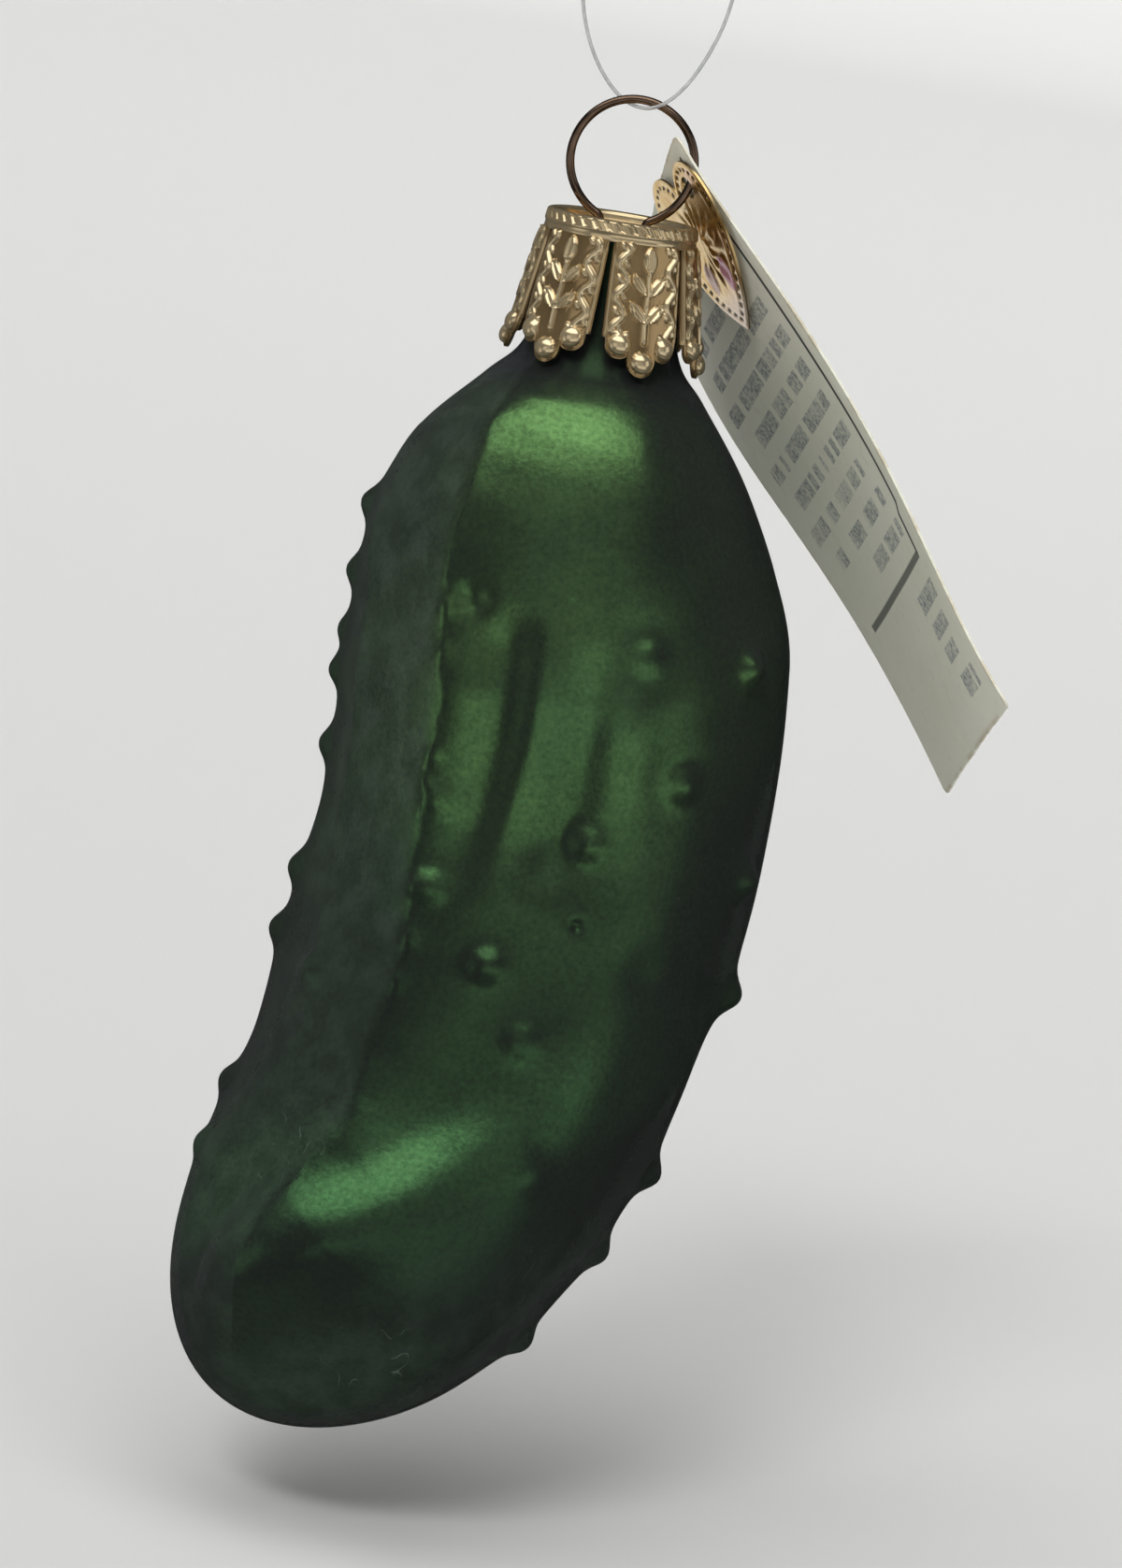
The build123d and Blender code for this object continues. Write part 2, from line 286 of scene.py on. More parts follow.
def monotone(xs, ys):
    """Shape-keeping cubic through one column of values."""
    xs, ys = np.asarray(xs, float), np.asarray(ys, float)
    h, d = np.diff(xs), np.diff(ys) / np.diff(xs)
    m = np.zeros(len(xs))
    for i in range(1, len(xs) - 1):
        if d[i - 1] * d[i] > 0:
            w1, w2 = 2 * h[i] + h[i - 1], h[i] + 2 * h[i - 1]
            m[i] = (w1 + w2) / (w1 / d[i - 1] + w2 / d[i])
    m[0], m[-1] = d[0], d[-1]

    def at(x):
        x = np.atleast_1d(np.asarray(x, float))
        i = np.clip(np.searchsorted(xs, x, side="right") - 1, 0, len(xs) - 2)
        t = (x - xs[i]) / h[i]
        return ((1 + 2 * t) * (1 - t) ** 2 * ys[i] + t * (1 - t) ** 2 * h[i] * m[i]
                + t * t * (3 - 2 * t) * ys[i + 1] + t * t * (t - 1) * h[i] * m[i + 1])

    return at, m[-1]


# round sections, neck to lower bend: middle and radius; then the rounded end's middle line
G_ST = np.array([
    (0, 0, -10.45, 5.00), (0, 0, -14.5, 5.05), (0, 0, -17.5, 5.55), (0, 0, -19.5, 6.15), (0, 0, -21.3, 7.12),
    (0, 0, -23.2, 9.00), (-0.13, 0.40, -26.0, 11.38), (-0.23, 0.85, -29.2, 13.89), (-0.36, 1.40, -33.0, 15.56),
    (-0.07, 2.00, -38.0, 16.75), (0.98, 2.70, -46.0, 18.33), (1.50, 3.00, -55.0, 18.34), (1.09, 2.50, -63.0, 18.38),
    (-0.02, 1.30, -71.0, 17.98), (-1.43, -0.60, -78.3, 17.59), (-3.34, -3.00, -84.7, 16.85)], float)
G_END = np.array([(-5.89, -5.60, -90.10), (-9.86, -8.90, -96.78), (-15.05, -15.78, -106.06)])
G_POW = 2.105
g_mid = np.vstack([G_ST[:, :3], G_END])
g_d = np.r_[0, np.cumsum(np.linalg.norm(np.diff(g_mid, axis=0), axis=1))]
g_at, g_slope = not_a_knot(g_d, g_mid)
g_k = len(G_ST) - 1
g_dk, g_len = g_d[g_k], g_d[-1] - g_d[g_k]
g_rad, g_rs = monotone(g_d[:g_k + 1], G_ST[:, 3])


def glass_radius(d):
    d = np.atleast_1d(d)
    x = np.clip((d - g_dk) / g_len, 0, 1)
    end = G_ST[-1, 3] * np.maximum(1 - x**G_POW, 0) ** (1 / G_POW) + g_rs * (d - g_dk) * (1 - x) ** 2
    return np.maximum(np.where(d < g_dk, g_rad(np.minimum(d, g_dk)), end), 0.0)


def glass_frame(d):
    c, t = g_at(d), unit(g_slope(d))
    w = smooth01((-23.2 - c[:, 2:3]) / 5.0)          # the neck stands straight; the body's lean comes in below it
    t = unit((1 - w) * np.array([0.0, 0.0, -1.0]) + w * t)
    u = unit(np.array([1.0, 0, 0]) - t * t[:, :1])
    return c, t, u, np.cross(t, u)


def glass_rows(n, from_d=0.0):
    """Places along the middle line that are evenly spread over the surface's own length."""
    th = np.linspace(0, math.pi / 2, 900)
    d = np.r_[np.linspace(from_d, g_dk, 2400, endpoint=False), g_dk + g_len * np.sin(th)]
    r = glass_radius(d)
    s = np.r_[0, np.cumsum(np.hypot(np.diff(d), np.diff(r)))]
    return np.interp(np.linspace(0, s[-1], n), s, d)


def glass_surface(d, cols, shrink=0.0):
    c, t, u, v = glass_frame(d)
    r = np.maximum(glass_radius(d) - shrink, 0.0)
    a = np.linspace(0, 2 * math.pi, cols, endpoint=False)
    return c[:, None] + r[:, None, None] * (np.cos(a)[None, :, None] * u[:, None] + np.sin(a)[None, :, None] * v[:, None])


def line_fields(pts, line):
    """Distance to a polyline, share of its length at the nearest point, and the nearest point and run there."""
    line = np.asarray(line, float)
    best = np.full(len(pts), 1e9)
    share, near, run = np.zeros(len(pts)), np.zeros_like(pts), np.zeros_like(pts)
    seg = np.linalg.norm(np.diff(line, axis=0), axis=1)
    cum = np.r_[0, np.cumsum(seg)]
    for i in range(len(seg)):
        a, b = line[i], line[i + 1]
        ab = b - a
        t = np.clip(((pts - a) @ ab) / (ab @ ab), 0, 1)
        q = a + t[:, None] * ab
        dist = np.linalg.norm(pts - q, axis=1)
        m = dist < best
        best[m], share[m], near[m], run[m] = dist[m], (cum[i] + t[m] * seg[i]) / cum[-1], q[m], ab / seg[i]
    return best, share, near, run


def ease(share, a, b):
    """Fades a long feature in over its first share a and out over its last share b."""
    return smooth01(share / max(a, 1e-6)) * smooth01((1 - share) / max(b, 1e-6))


SEAM = [(-5.5, -5.8, -21.8), (-6.0, -7.8, -24.6), (-7.0, -9.4, -28.5), (-8.1, -11.5, -32.6), (-8.5, -11.8, -35.0), (-8.5, -12.2, -38.4),
        (-8.2, -12.6, -41.9), (-7.6, -13.4, -46.8), (-7.5, -13.2, -51.5), (-7.6, -13.0, -54.0), (-7.7, -13.1, -57.2),
        (-7.5, -13.7, -62.0), (-7.5, -14.5, -66.8), (-7.4, -15.2, -69.8), (-8.1, -15.6, -72.1), (-8.8, -15.8, -74.0),
        (-9.2, -16.3, -76.0), (-9.2, -17.3, -78.5), (-9.5, -18.2, -80.6), (-10.2, -18.7, -82.8), (-11.7, -18.5, -84.5),
        (-12.7, -19.1, -86.2), (-14.6, -19.5, -88.1), (-15.4, -19.8, -89.4), (-16.7, -20.4, -93.9), (-17.1, -20.2, -97.2),
        (-16.9, -19.1, -101.6)]
LEFT_EDGE = [(-13.7, -4.5, -30.5), (-14.7, -3.4, -31.9), (-15.6, -3.1, -34.8), (-15.7, -3.4, -37.5), (-14.8, -5.7, -41.4),
             (-14.8, -6.3, -45.8), (-14.6, -6.2, -51.1), (-14.6, -6.1, -56.6), (-14.9, -6.4, -61.1), (-14.9, -7.5, -65.7)]
# long soft folds of the front: line, height (mm, minus for a groove), half width, fade in, fade out
FOLDS = [
    ([(-2.4, -14.6, -39.0), (-2.2, -15.0, -43.2), (-1.9, -15.3, -46.0), (-1.8, -15.2, -49.7), (-1.8, -15.1, -52.7),
      (-2.1, -15.1, -56.8), (-2.7, -15.3, -60.5), (-3.1, -15.5, -63.5)], -0.58, 2.4, 0.18, 0.25),
    ([(0.2, -14.7, -37.5), (0.6, -15.1, -41.8), (0.7, -15.4, -43.8), (0.7, -15.6, -47.0), (0.6, -15.4, -49.9),
      (0.1, -15.3, -53.3), (-0.3, -15.4, -56.3), (-1.0, -15.5, -59.6), (-1.7, -15.7, -63.0)], 0.36, 2.0, 0.25, 0.25),
    ([(3.4, -14.8, -40.4), (3.5, -15.3, -45.0), (3.5, -15.3, -49.0), (3.2, -15.3, -52.9), (2.7, -15.4, -56.4),
      (2.0, -15.6, -59.8), (0.9, -15.9, -63.0)], -0.85, 2.5, 0.25, 0.25),
    ([(7.8, -14.2, -44.0), (7.2, -14.5, -46.6), (6.9, -14.6, -48.7), (7.2, -14.5, -51.4), (7.7, -14.3, -54.4),
      (8.3, -14.1, -56.8), (7.7, -14.5, -59.4), (6.7, -14.9, -62.5)], 0.32, 2.2, 0.25, 0.3),
]
# warts: place, height, half width
WARTS = [
    ((-16.3, 2.2, -35.4), 1.25, 1.25), ((-17.1, 1.7, -41.0), 1.15, 1.25), ((-17.3, 1.4, -45.8), 0.75, 1.1),
    ((-17.3, 2.0, -49.4), 1.1, 1.2), ((-17.2, 2.2, -55.6), 1.2, 1.3), ((-17.5, 1.3, -66.0), 1.25, 1.35),
    ((-17.9, 0.3, -71.2), 1.3, 1.35), ((-20.0, -4.1, -83.5), 1.1, 1.35), ((-21.7, -7.5, -88.1), 0.8, 1.2),
    ((18.6, 0.6, -70.7), 1.6, 1.45), ((14.7, -3.4, -85.8), 1.5, 1.45), ((11.6, -5.0, -92.6), 1.15, 1.35),
    ((6.4, -8.9, -99.9), 1.2, 1.4),
    ((7.7, -13.8, -42.0), 0.85, 1.35), ((15.8, -7.3, -42.5), 1.35, 1.35), ((12.0, -12.0, -51.9), 1.2, 1.35),
    ((5.2, -15.1, -57.3), 1.15, 1.35), ((18.3, -4.3, -60.1), 1.4, 1.35), ((-1.2, -16.4, -68.0), 1.25, 1.3),
    ((2.5, -17.1, -73.4), 0.7, 1.35), ((-15.1, -9.6, -72.1), 1.1, 1.4), ((-6.5, -14.3, -62.6), 0.8, 1.2),
    ((-6.9, -13.4, -56.0), 0.35, 1.0), ((4.7, -17.6, -83.9), 0.5, 1.5),
    ((-8.3, -12.5, -40.6), 0.36, 0.75), ((-7.9, -12.9, -44.2), 0.22, 0.6), ((-7.6, -13.2, -52.4), 0.30, 0.7),
    ((-7.8, -13.1, -54.6), 0.34, 0.7), ((-7.6, -13.9, -63.2), 0.26, 0.6), ((-7.5, -14.6, -67.0), 0.36, 0.75), ((-7.9, -15.4, -70.6), 0.28, 0.7),
]
# warts out of the front's sight: height of the section's middle, direction round it, height, half width
BACK_WARTS = [
    (-33.0, 60, 1.0, 1.2), (-36.0, 118, 1.1, 1.3), (-41.0, 24, 1.1, 1.25), (-43.0, 84, 1.25, 1.35),
    (-45.0, 145, 1.0, 1.2), (-50.5, 50, 1.2, 1.35), (-52.0, 110, 1.1, 1.3), (-57.0, 26, 1.1, 1.25),
    (-58.5, 80, 1.25, 1.35), (-60.0, 135, 1.1, 1.3), (-65.0, 52, 1.2, 1.35), (-67.0, 105, 1.0, 1.3),
    (-69.0, 150, 1.1, 1.25), (-73.5, 30, 1.2, 1.3), (-75.0, 78, 1.2, 1.4), (-77.5, 125, 1.1, 1.3),
    (-82.0, 50, 1.1, 1.3), (-83.5, 100, 1.15, 1.3), (-87.0, 140, 1.0, 1.25), (-88.5, 75, 1.0, 1.25),
    (-94.0, 110, 0.8, 1.2), (-96.0, 60, 0.9, 1.2),
]
# small hollows: place, depth, half width
DENTS = [((-6.7, -13.2, -39.6), 0.55, 1.3), ((5.5, -15.4, -63.9), 0.42, 0.42), ((1.0, -14.6, -38.6), 0.15, 0.25),
         ((11.3, -12.7, -67.1), 0.35, 2.4), ((7.4, -13.8, -42.2), 0.70, 3.2), ((4.6, -15.1, -56.9), 0.72, 3.3),
         ((11.7, -12.2, -51.7), 0.62, 3.0), ((-1.4, -16.4, -67.6), 0.36, 2.8), ((-5.8, -14.2, -61.8), 0.30, 2.6)]

ROWS, COLS, IN_ROWS = 340, 372, 56
g_rows = glass_rows(ROWS)[:-1]
base = glass_surface(g_rows, COLS)
# the shoulder runs smoothly from the neck's flare into the body
blur = np.exp(-0.5 * ((g_rows[:, None] - g_rows[None, :]) / 2.3) ** 2) * np.gradient(g_rows)[None, :]
blur /= blur.sum(1, keepdims=True)
level = smooth01((g_rows - 10.0) / 3.0) * smooth01((32.0 - g_rows) / 8.0)
base = base + (np.einsum("ij,jkl->ikl", blur, base) - base) * level[:, None, None]
g_tip = g_mid[-1]
wrap_j = np.concatenate([base, g_tip[None, None].repeat(COLS, 1)], 0)
d_row = np.gradient(wrap_j, axis=0)[:-1]
d_col = np.roll(base, -1, 1) - np.roll(base, 1, 1)
g_nor = unit(np.cross(d_row, d_col))
out_dir = unit(base - g_at(g_rows)[:, None])
g_nor *= np.where(np.einsum("ijk,ijk->ij", g_nor, out_dir) < 0, -1.0, 1.0)[..., None]
pts, nor = base.reshape(-1, 3), g_nor.reshape(-1, 3)
lift = np.zeros(len(pts))

# slightly lobed section, as blown in a carved mould
gc, gt, gu, gv = glass_frame(g_rows)
ang = np.linspace(0, 2 * math.pi, COLS, endpoint=False)[None, :].repeat(len(g_rows), 0)
along = (g_rows / g_d[-1])[:, None].repeat(COLS, 1)
body = smooth01((along - 0.14) / 0.16) * smooth01((1 - along) / 0.22)
lobes = 0.20 * np.cos(5 * ang + 0.8 + 2.2 * along) + 0.10 * np.cos(3 * ang - 1.1 + 4.0 * along) + 0.07 * np.cos(9 * ang + 2.0 - 7.0 * along)
lift += (body * lobes).ravel()
for k in range(7):
    w = rng.normal(size=3) * 0.16
    lift += body.ravel() * 0.035 * np.sin(pts @ w + rng.uniform(0, 6.28))

# mould seam on the left of the front: a raised edge between two flatter faces
dist, share, near, run = line_fields(pts, SEAM)
side = np.einsum("ij,ij->i", np.cross(run, nor), pts - near)
seam_signed = np.where(side >= 0, dist, -dist)
wob = 0.18 * np.sin(share * 61.0) + 0.12 * np.sin(share * 137.0 + 1.0)
rounded = np.sqrt((seam_signed + wob) ** 2 + 0.22**2) - 0.22
lift += 0.95 * np.exp(-rounded / 4.6) * ease(share, 0.07, 0.22) * smooth01((22.0 - dist) / 10.0)
dist, share, near, run = line_fields(pts, LEFT_EDGE)
rounded = np.sqrt(dist**2 + 0.2**2) - 0.2
lift += 0.58 * np.exp(-rounded / 2.6) * ease(share, 0.2, 0.25) * smooth01((12.0 - dist) / 6.0)
for k, (line, h, w, a, b) in enumerate(FOLDS):
    dist, share, near, run = line_fields(pts, [(q[0] - (1.2 if k < 2 else 0.0), q[1], q[2]) for q in line])
    lift += h * np.exp(-((dist / w) ** 2)) * ease(share, a, b)
# the lower end swells forward on the front side
turn = np.degrees(ang) - 92.0
front_win = smooth01((58.0 - np.abs((turn + 180) % 360 - 180)) / 34.0)
d_tab = np.linspace(30, 116, 861)
f_tab = spline([30, 44, 57, 67, 74, 79, 82, 85, 88, 90.5, 92.8, 95.5, 99, 104, 116],
               [0, 0, -0.30, -0.60, -1.00, -1.25, -1.15, -0.55, 0.35, 0.95, 1.20, 1.02, 0.55, 0.05, 0])(d_tab)
dd_row = g_rows[:, None] - 0.28 * turn
bulge_win = smooth01((50.0 - np.abs((turn - 19.0 + 180) % 360 - 180)) / 32.0)
lift += (bulge_win * np.interp(dd_row, d_tab, f_tab) * smooth01((103.3 - g_rows) / 6.0)[:, None]).ravel()
# and the shoulder is full on the front
sh_tab = np.linspace(0, 44, 441)
sh_lift = spline([0, 7, 9.5, 12, 14.8, 17.6, 21.5, 26, 33, 44], [0, 0, 0.06, 0.44, 0.80, 0.66, 0.28, 0.05, 0, 0])(sh_tab)
lift += (front_win * np.interp(g_rows, sh_tab, sh_lift)[:, None]).ravel()
broad_lift = lift.copy()
# those of the front are lower and rounder than those that show in the outline
wart_list = [(np.array(p), h * (0.88 if p[1] < -9 else 1.0), w * (1.08 if p[1] < -9 else 1.0)) for p, h, w in WARTS]
for z, deg, h, w in BACK_WARTS:
    i = np.argmin(np.abs(g_at(g_rows)[:, 2] - z))
    j = int(round(((-deg) % 360) / 360 * COLS)) % COLS
    wart_list.append((base[i, j], h, w))
for p, h, w in wart_list:
    dd = pts - p
    dist = np.linalg.norm(dd, axis=1)
    m = dist < 9
    x = dist[m] / w
    lift[m] += h * (0.70 * np.exp(-(x**2.3)) + 0.30 * np.exp(-((x / 2.1) ** 2)))
for p, h, w in DENTS:
    dist = np.linalg.norm(pts - np.array(p), axis=1)
    lift -= h * np.exp(-((dist / w) ** 2))
neck_z = pts[:, 2]
fade = smooth01((-21.0 - neck_z) / 3.0)
lift *= fade
broad_lift *= fade
outer_v = pts + nor * lift[:, None]

# rounded lip of the neck, the bore, and the inside wall down to the inner tip
lip = []
for th in np.linspace(0.25, math.pi - 0.25, 9):
    rr = 4.575 + 0.425 * math.cos(th)
    zz = -10.62 + 0.17 * math.sin(th)
    a = np.linspace(0, 2 * math.pi, COLS, endpoint=False)
    lip.append(np.c_[rr * np.cos(a), -rr * np.sin(a), np.full(COLS, zz)])
pick_rows = np.unique(np.r_[np.linspace(2, len(g_rows) - 1, IN_ROWS).astype(int)])
in_move = np.minimum(broad_lift, lift).reshape(len(g_rows), COLS)[pick_rows]
inside = base[pick_rows] + g_nor[pick_rows] * (in_move - 0.9)[..., None]
in_rows = pick_rows
in_tip = g_tip - 0.9 * unit(g_slope(g_d[-1:]))[0]
nR = len(g_rows)
verts = np.vstack([g_tip[None], outer_v.reshape(nR, COLS, 3)[::-1].reshape(-1, 3), np.vstack(lip),
                   inside.reshape(-1, 3), in_tip[None]])
n_rings = nR + len(lip) + len(in_rows)
faces = [[0, 1 + (j + 1) % COLS, 1 + j] for j in range(COLS)]
faces += grid_faces(n_rings, COLS, start=1)
last = 1 + (n_rings - 1) * COLS
faces += [[len(verts) - 1, last + j, last + (j + 1) % COLS] for j in range(COLS)]
glass = new_mesh("pickle_glass", verts, faces)
seam_full = np.full(len(verts), 30.0)
seam_full[1:1 + nR * COLS] = seam_signed.reshape(nR, COLS)[::-1].ravel()
set_attr(glass, "seam_mm", seam_full)
n_out = COLS + (nR - 1) * COLS          # faces of the lacquered outside, tip fan and rows
mat_index = np.zeros(len(faces), np.int32)
mat_index[n_out:] = 1
glass.data.polygons.foreach_set("material_index", mat_index)


# ------------------------------------------------------------------ sheets cut from a flat outline
def inside_loop(p, loop):
    loop = np.asarray(loop, float)
    x, y = p[:, 0][:, None], p[:, 1][:, None]
    a, b = loop, np.roll(loop, -1, 0)
    cross = ((a[:, 1] > y) != (b[:, 1] > y)) & (x < (b[:, 0] - a[:, 0]) * (y - a[:, 1]) / (b[:, 1] - a[:, 1] + 1e-15) + a[:, 0])
    return cross.sum(1) % 2 == 1


def loop_distance(p, loop):
    """Distance to a closed outline, and how far round it the nearest point is."""
    loop = np.asarray(loop, float)
    best, arc, run = np.full(len(p), 1e9), np.zeros(len(p)), 0.0
    for a, b in zip(loop, np.roll(loop, -1, 0)):
        ab = b - a
        ln = math.hypot(*ab)
        t = np.clip(((p - a) @ ab) / (ln * ln + 1e-15), 0, 1)
        d = np.linalg.norm(p - (a + t[:, None] * ab), axis=1)
        m = d < best
        best[m], arc[m] = d[m], run + t[m] * ln
        run += ln
    return best, arc


def flat_sheet(outline, holes, step):
    """Triangles of a flat shape with holes, with even points inside it."""
    loops = [np.asarray(outline, float)] + [np.asarray(h, float) for h in holes]
    pts, edges = [], []
    for lp in loops:
        s = len(pts)
        pts += [tuple(q) for q in lp]
        edges += [(s + i, s + (i + 1) % len(lp)) for i in range(len(lp))]
    lo, hi = loops[0].min(0), loops[0].max(0)
    gx, gy = np.meshgrid(np.arange(lo[0], hi[0], step), np.arange(lo[1], hi[1], step * 0.87))
    gx = gx + (np.arange(gx.shape[0]) % 2)[:, None] * step / 2
    g = np.c_[gx.ravel(), gy.ravel()]
    ok = inside_loop(g, loops[0])
    for h in loops[1:]:
        ok &= ~inside_loop(g, h)
    for lp in loops:
        ok &= loop_distance(g, lp)[0] > step * 0.45
    pts += [tuple(q) for q in g[ok]]
    res = delaunay_2d_cdt([Vector(q) for q in pts], edges, [], 0, 1e-7)
    v = np.array([tuple(q) for q in res[0]])
    tris = np.array([list(t) for t in res[2]])
    mid = v[tris].mean(1)
    keep = inside_loop(mid, loops[0])
    for h in loops[1:]:
        keep &= ~inside_loop(mid, h)
    tris = tris[keep]
    a, b, c = v[tris[:, 0]], v[tris[:, 1]], v[tris[:, 2]]
    turn = (b[:, 0] - a[:, 0]) * (c[:, 1] - a[:, 1]) - (b[:, 1] - a[:, 1]) * (c[:, 0] - a[:, 0])
    tris[turn < 0] = tris[turn < 0][:, ::-1]
    return v, tris


def thick(tris, top, bottom):
    """Closed solid from two copies of a triangle sheet, as points and faces."""
    n = len(top)
    count = set()
    for t in tris:
        for i in range(3):
            count.add((int(t[i]), int(t[(i + 1) % 3])))
    faces = [list(t) for t in tris] + [[t[2] + n, t[1] + n, t[0] + n] for t in tris]
    faces += [[b, a, a + n, b + n] for (a, b) in sorted(count) if (b, a) not in count]
    return np.vstack([top, bottom]), faces


def tidy(ob, angle=38.0):
    """Faces turned outward, and sharp edges kept sharp."""
    bm = bmesh.new()
    bm.from_mesh(ob.data)
    bmesh.ops.recalc_face_normals(bm, faces=bm.faces)
    bm.to_mesh(ob.data)
    bm.free()
    ob.data.set_sharp_from_angle(angle=math.radians(angle))
    return ob


def circle(cx, cy, r, n):
    a = np.linspace(0, 2 * math.pi, n, endpoint=False)
    return np.c_[cx + r * np.cos(a), cy + r * np.sin(a)]


def turned(name, profile, cols, bump=None):
    """Closed turned ring from a closed (radius, height) profile; bump(angle, radius, height) moves it outward."""
    pr = np.asarray(profile, float)
    a = np.linspace(0, 2 * math.pi, cols, endpoint=False)
    rr, aa = np.meshgrid(pr[:, 0], a, indexing="ij")
    zz = pr[:, 1][:, None].repeat(cols, 1)
    if bump is not None:
        rr = rr + bump(aa, rr, zz)
    v = np.stack([rr * np.cos(aa), rr * np.sin(aa), zz], -1).reshape(-1, 3)
    f = grid_faces(len(pr), cols)
    s = (len(pr) - 1) * cols
    f += [[s + j, s + (j + 1) % cols, (j + 1) % cols, j] for j in range(cols)]
    return v, f


def join(parts):
    vs, fs, s = [], [], 0
    for v, f in parts:
        vs.append(np.asarray(v, float))
        fs += [[int(i) + s for i in q] for q in f]
        s += len(v)
    return np.vstack(vs), fs


# ------------------------------------------------------------------ cap
CAP_TURN, PETALS = -65.0, 6
LOBES = [(-1.95, -18.55, 1.15), (1.95, -18.55, 1.15), (0.0, -19.80, 1.15)]


def skirt_r(z):
    return 6.02 + 1.88 * (-9.60 - z) / 11.35


def petal_half(z):
    """Half angle of a petal: it narrows a little toward its end."""
    return np.radians(28.2 - 2.2 * smooth01((-11.0 - z) / 9.0))


def petal_end(y):
    """Height of the scalloped lower edge across a petal."""
    ay = np.abs(y)
    low = np.full_like(y, -18.15)
    mid_r = np.sqrt(np.maximum(1.15**2 - np.minimum(ay, 1.149) ** 2, 0))
    side_r = np.sqrt(np.maximum(1.15**2 - np.clip(ay - 1.95, -1.149, 1.149) ** 2, 0))
    low = np.where(ay <= 3.1, -18.55 - side_r, low + 0.0)
    low = np.where(ay < 1.15, np.minimum(-19.80 - mid_r, low), low)
    return low


def stroke(y, z, line, width, height, closed=False):
    """Rounded raised line along a path on the petal."""
    p = np.c_[y.ravel(), z.ravel()]
    q = np.asarray(line, float)
    best = np.full(len(p), 1e9)
    for a, b in zip(q[:-1] if not closed else q, q[1:] if not closed else np.roll(q, -1, 0)):
        ab = b - a
        t = np.clip(((p - a) @ ab) / (ab @ ab + 1e-12), 0, 1)
        best = np.minimum(best, np.linalg.norm(p - (a + t[:, None] * ab), axis=1))
    return (height * np.exp(-((best / width) ** 2) ** 1.3)).reshape(y.shape)


def leaf(y, z, cx, cz, deg, length, width, height):
    """Raised almond leaf with a groove along its middle."""
    c, s = math.cos(math.radians(deg)), math.sin(math.radians(deg))
    u, w = (y - cx) * c + (z - cz) * s, -(y - cx) * s + (z - cz) * c
    x = np.clip(np.abs(u) / (length / 2), 0, 1)
    half = width / 2 * (1 - x**2.2)
    q = np.where(np.abs(u) < length / 2, np.abs(w) / np.maximum(half, 1e-3), 9.0)
    return height * smooth01((1.15 - q) / 0.55) - 0.55 * height * np.exp(-((w / 0.13) ** 2)) * (q < 1) * (x < 0.8)


def petal_relief(y, z):
    h = np.zeros_like(y)
    zz = np.linspace(-10.85, -17.6, 70)
    for s in (-1, 1):
        wave = np.sin((-10.85 - zz) / 2.6 * 2 * math.pi + (0.4 if s > 0 else 1.3))
        yy = s * (1.98 + 0.045 * (-10.85 - zz)) + 0.36 * wave
        h = np.maximum(h, stroke(y, z, np.c_[yy, zz], 0.23, 0.27))
        for k in range(1, 70, 13):
            side = -np.sign(wave[k]) * 0.52
            yc, zc = yy[k] + side, zz[k]
            if abs(yc) < 2.85:
                h = np.maximum(h, stroke(y, z, [(yc - 0.10, zc + 0.16), (yc + 0.06, zc - 0.16)], 0.18, 0.22))
        h = np.maximum(h, stroke(y, z, [(yy[-1], -17.6), (s * 1.75, -17.85), (s * 1.45, -17.75)], 0.20, 0.24))
    # sprig down the middle: stem and paired leaves
    h = np.maximum(h, stroke(y, z, [(0.0, -12.6), (0.06, -14.4), (-0.05, -16.2), (0.0, -18.2)], 0.17, 0.24))
    h = np.maximum(h, leaf(y, z, 0.0, -11.85, 90, 2.3, 1.10, 0.30))
    for zc, deg, ln, wd in ((-13.75, 54, 2.05, 0.92), (-15.9, 50, 2.15, 0.98)):
        for s in (-1, 1):
            h = np.maximum(h, leaf(y, z, s * 0.78, zc, deg if s > 0 else 180 - deg, ln, wd, 0.30))
    # beads on the scalloped end
    for yc, zc, r in LOBES:
        d = np.hypot(y - yc, z - zc)
        h = np.maximum(h, 0.62 * np.sqrt(np.maximum(1 - (d / 0.86) ** 2, 0.0)))
    return h


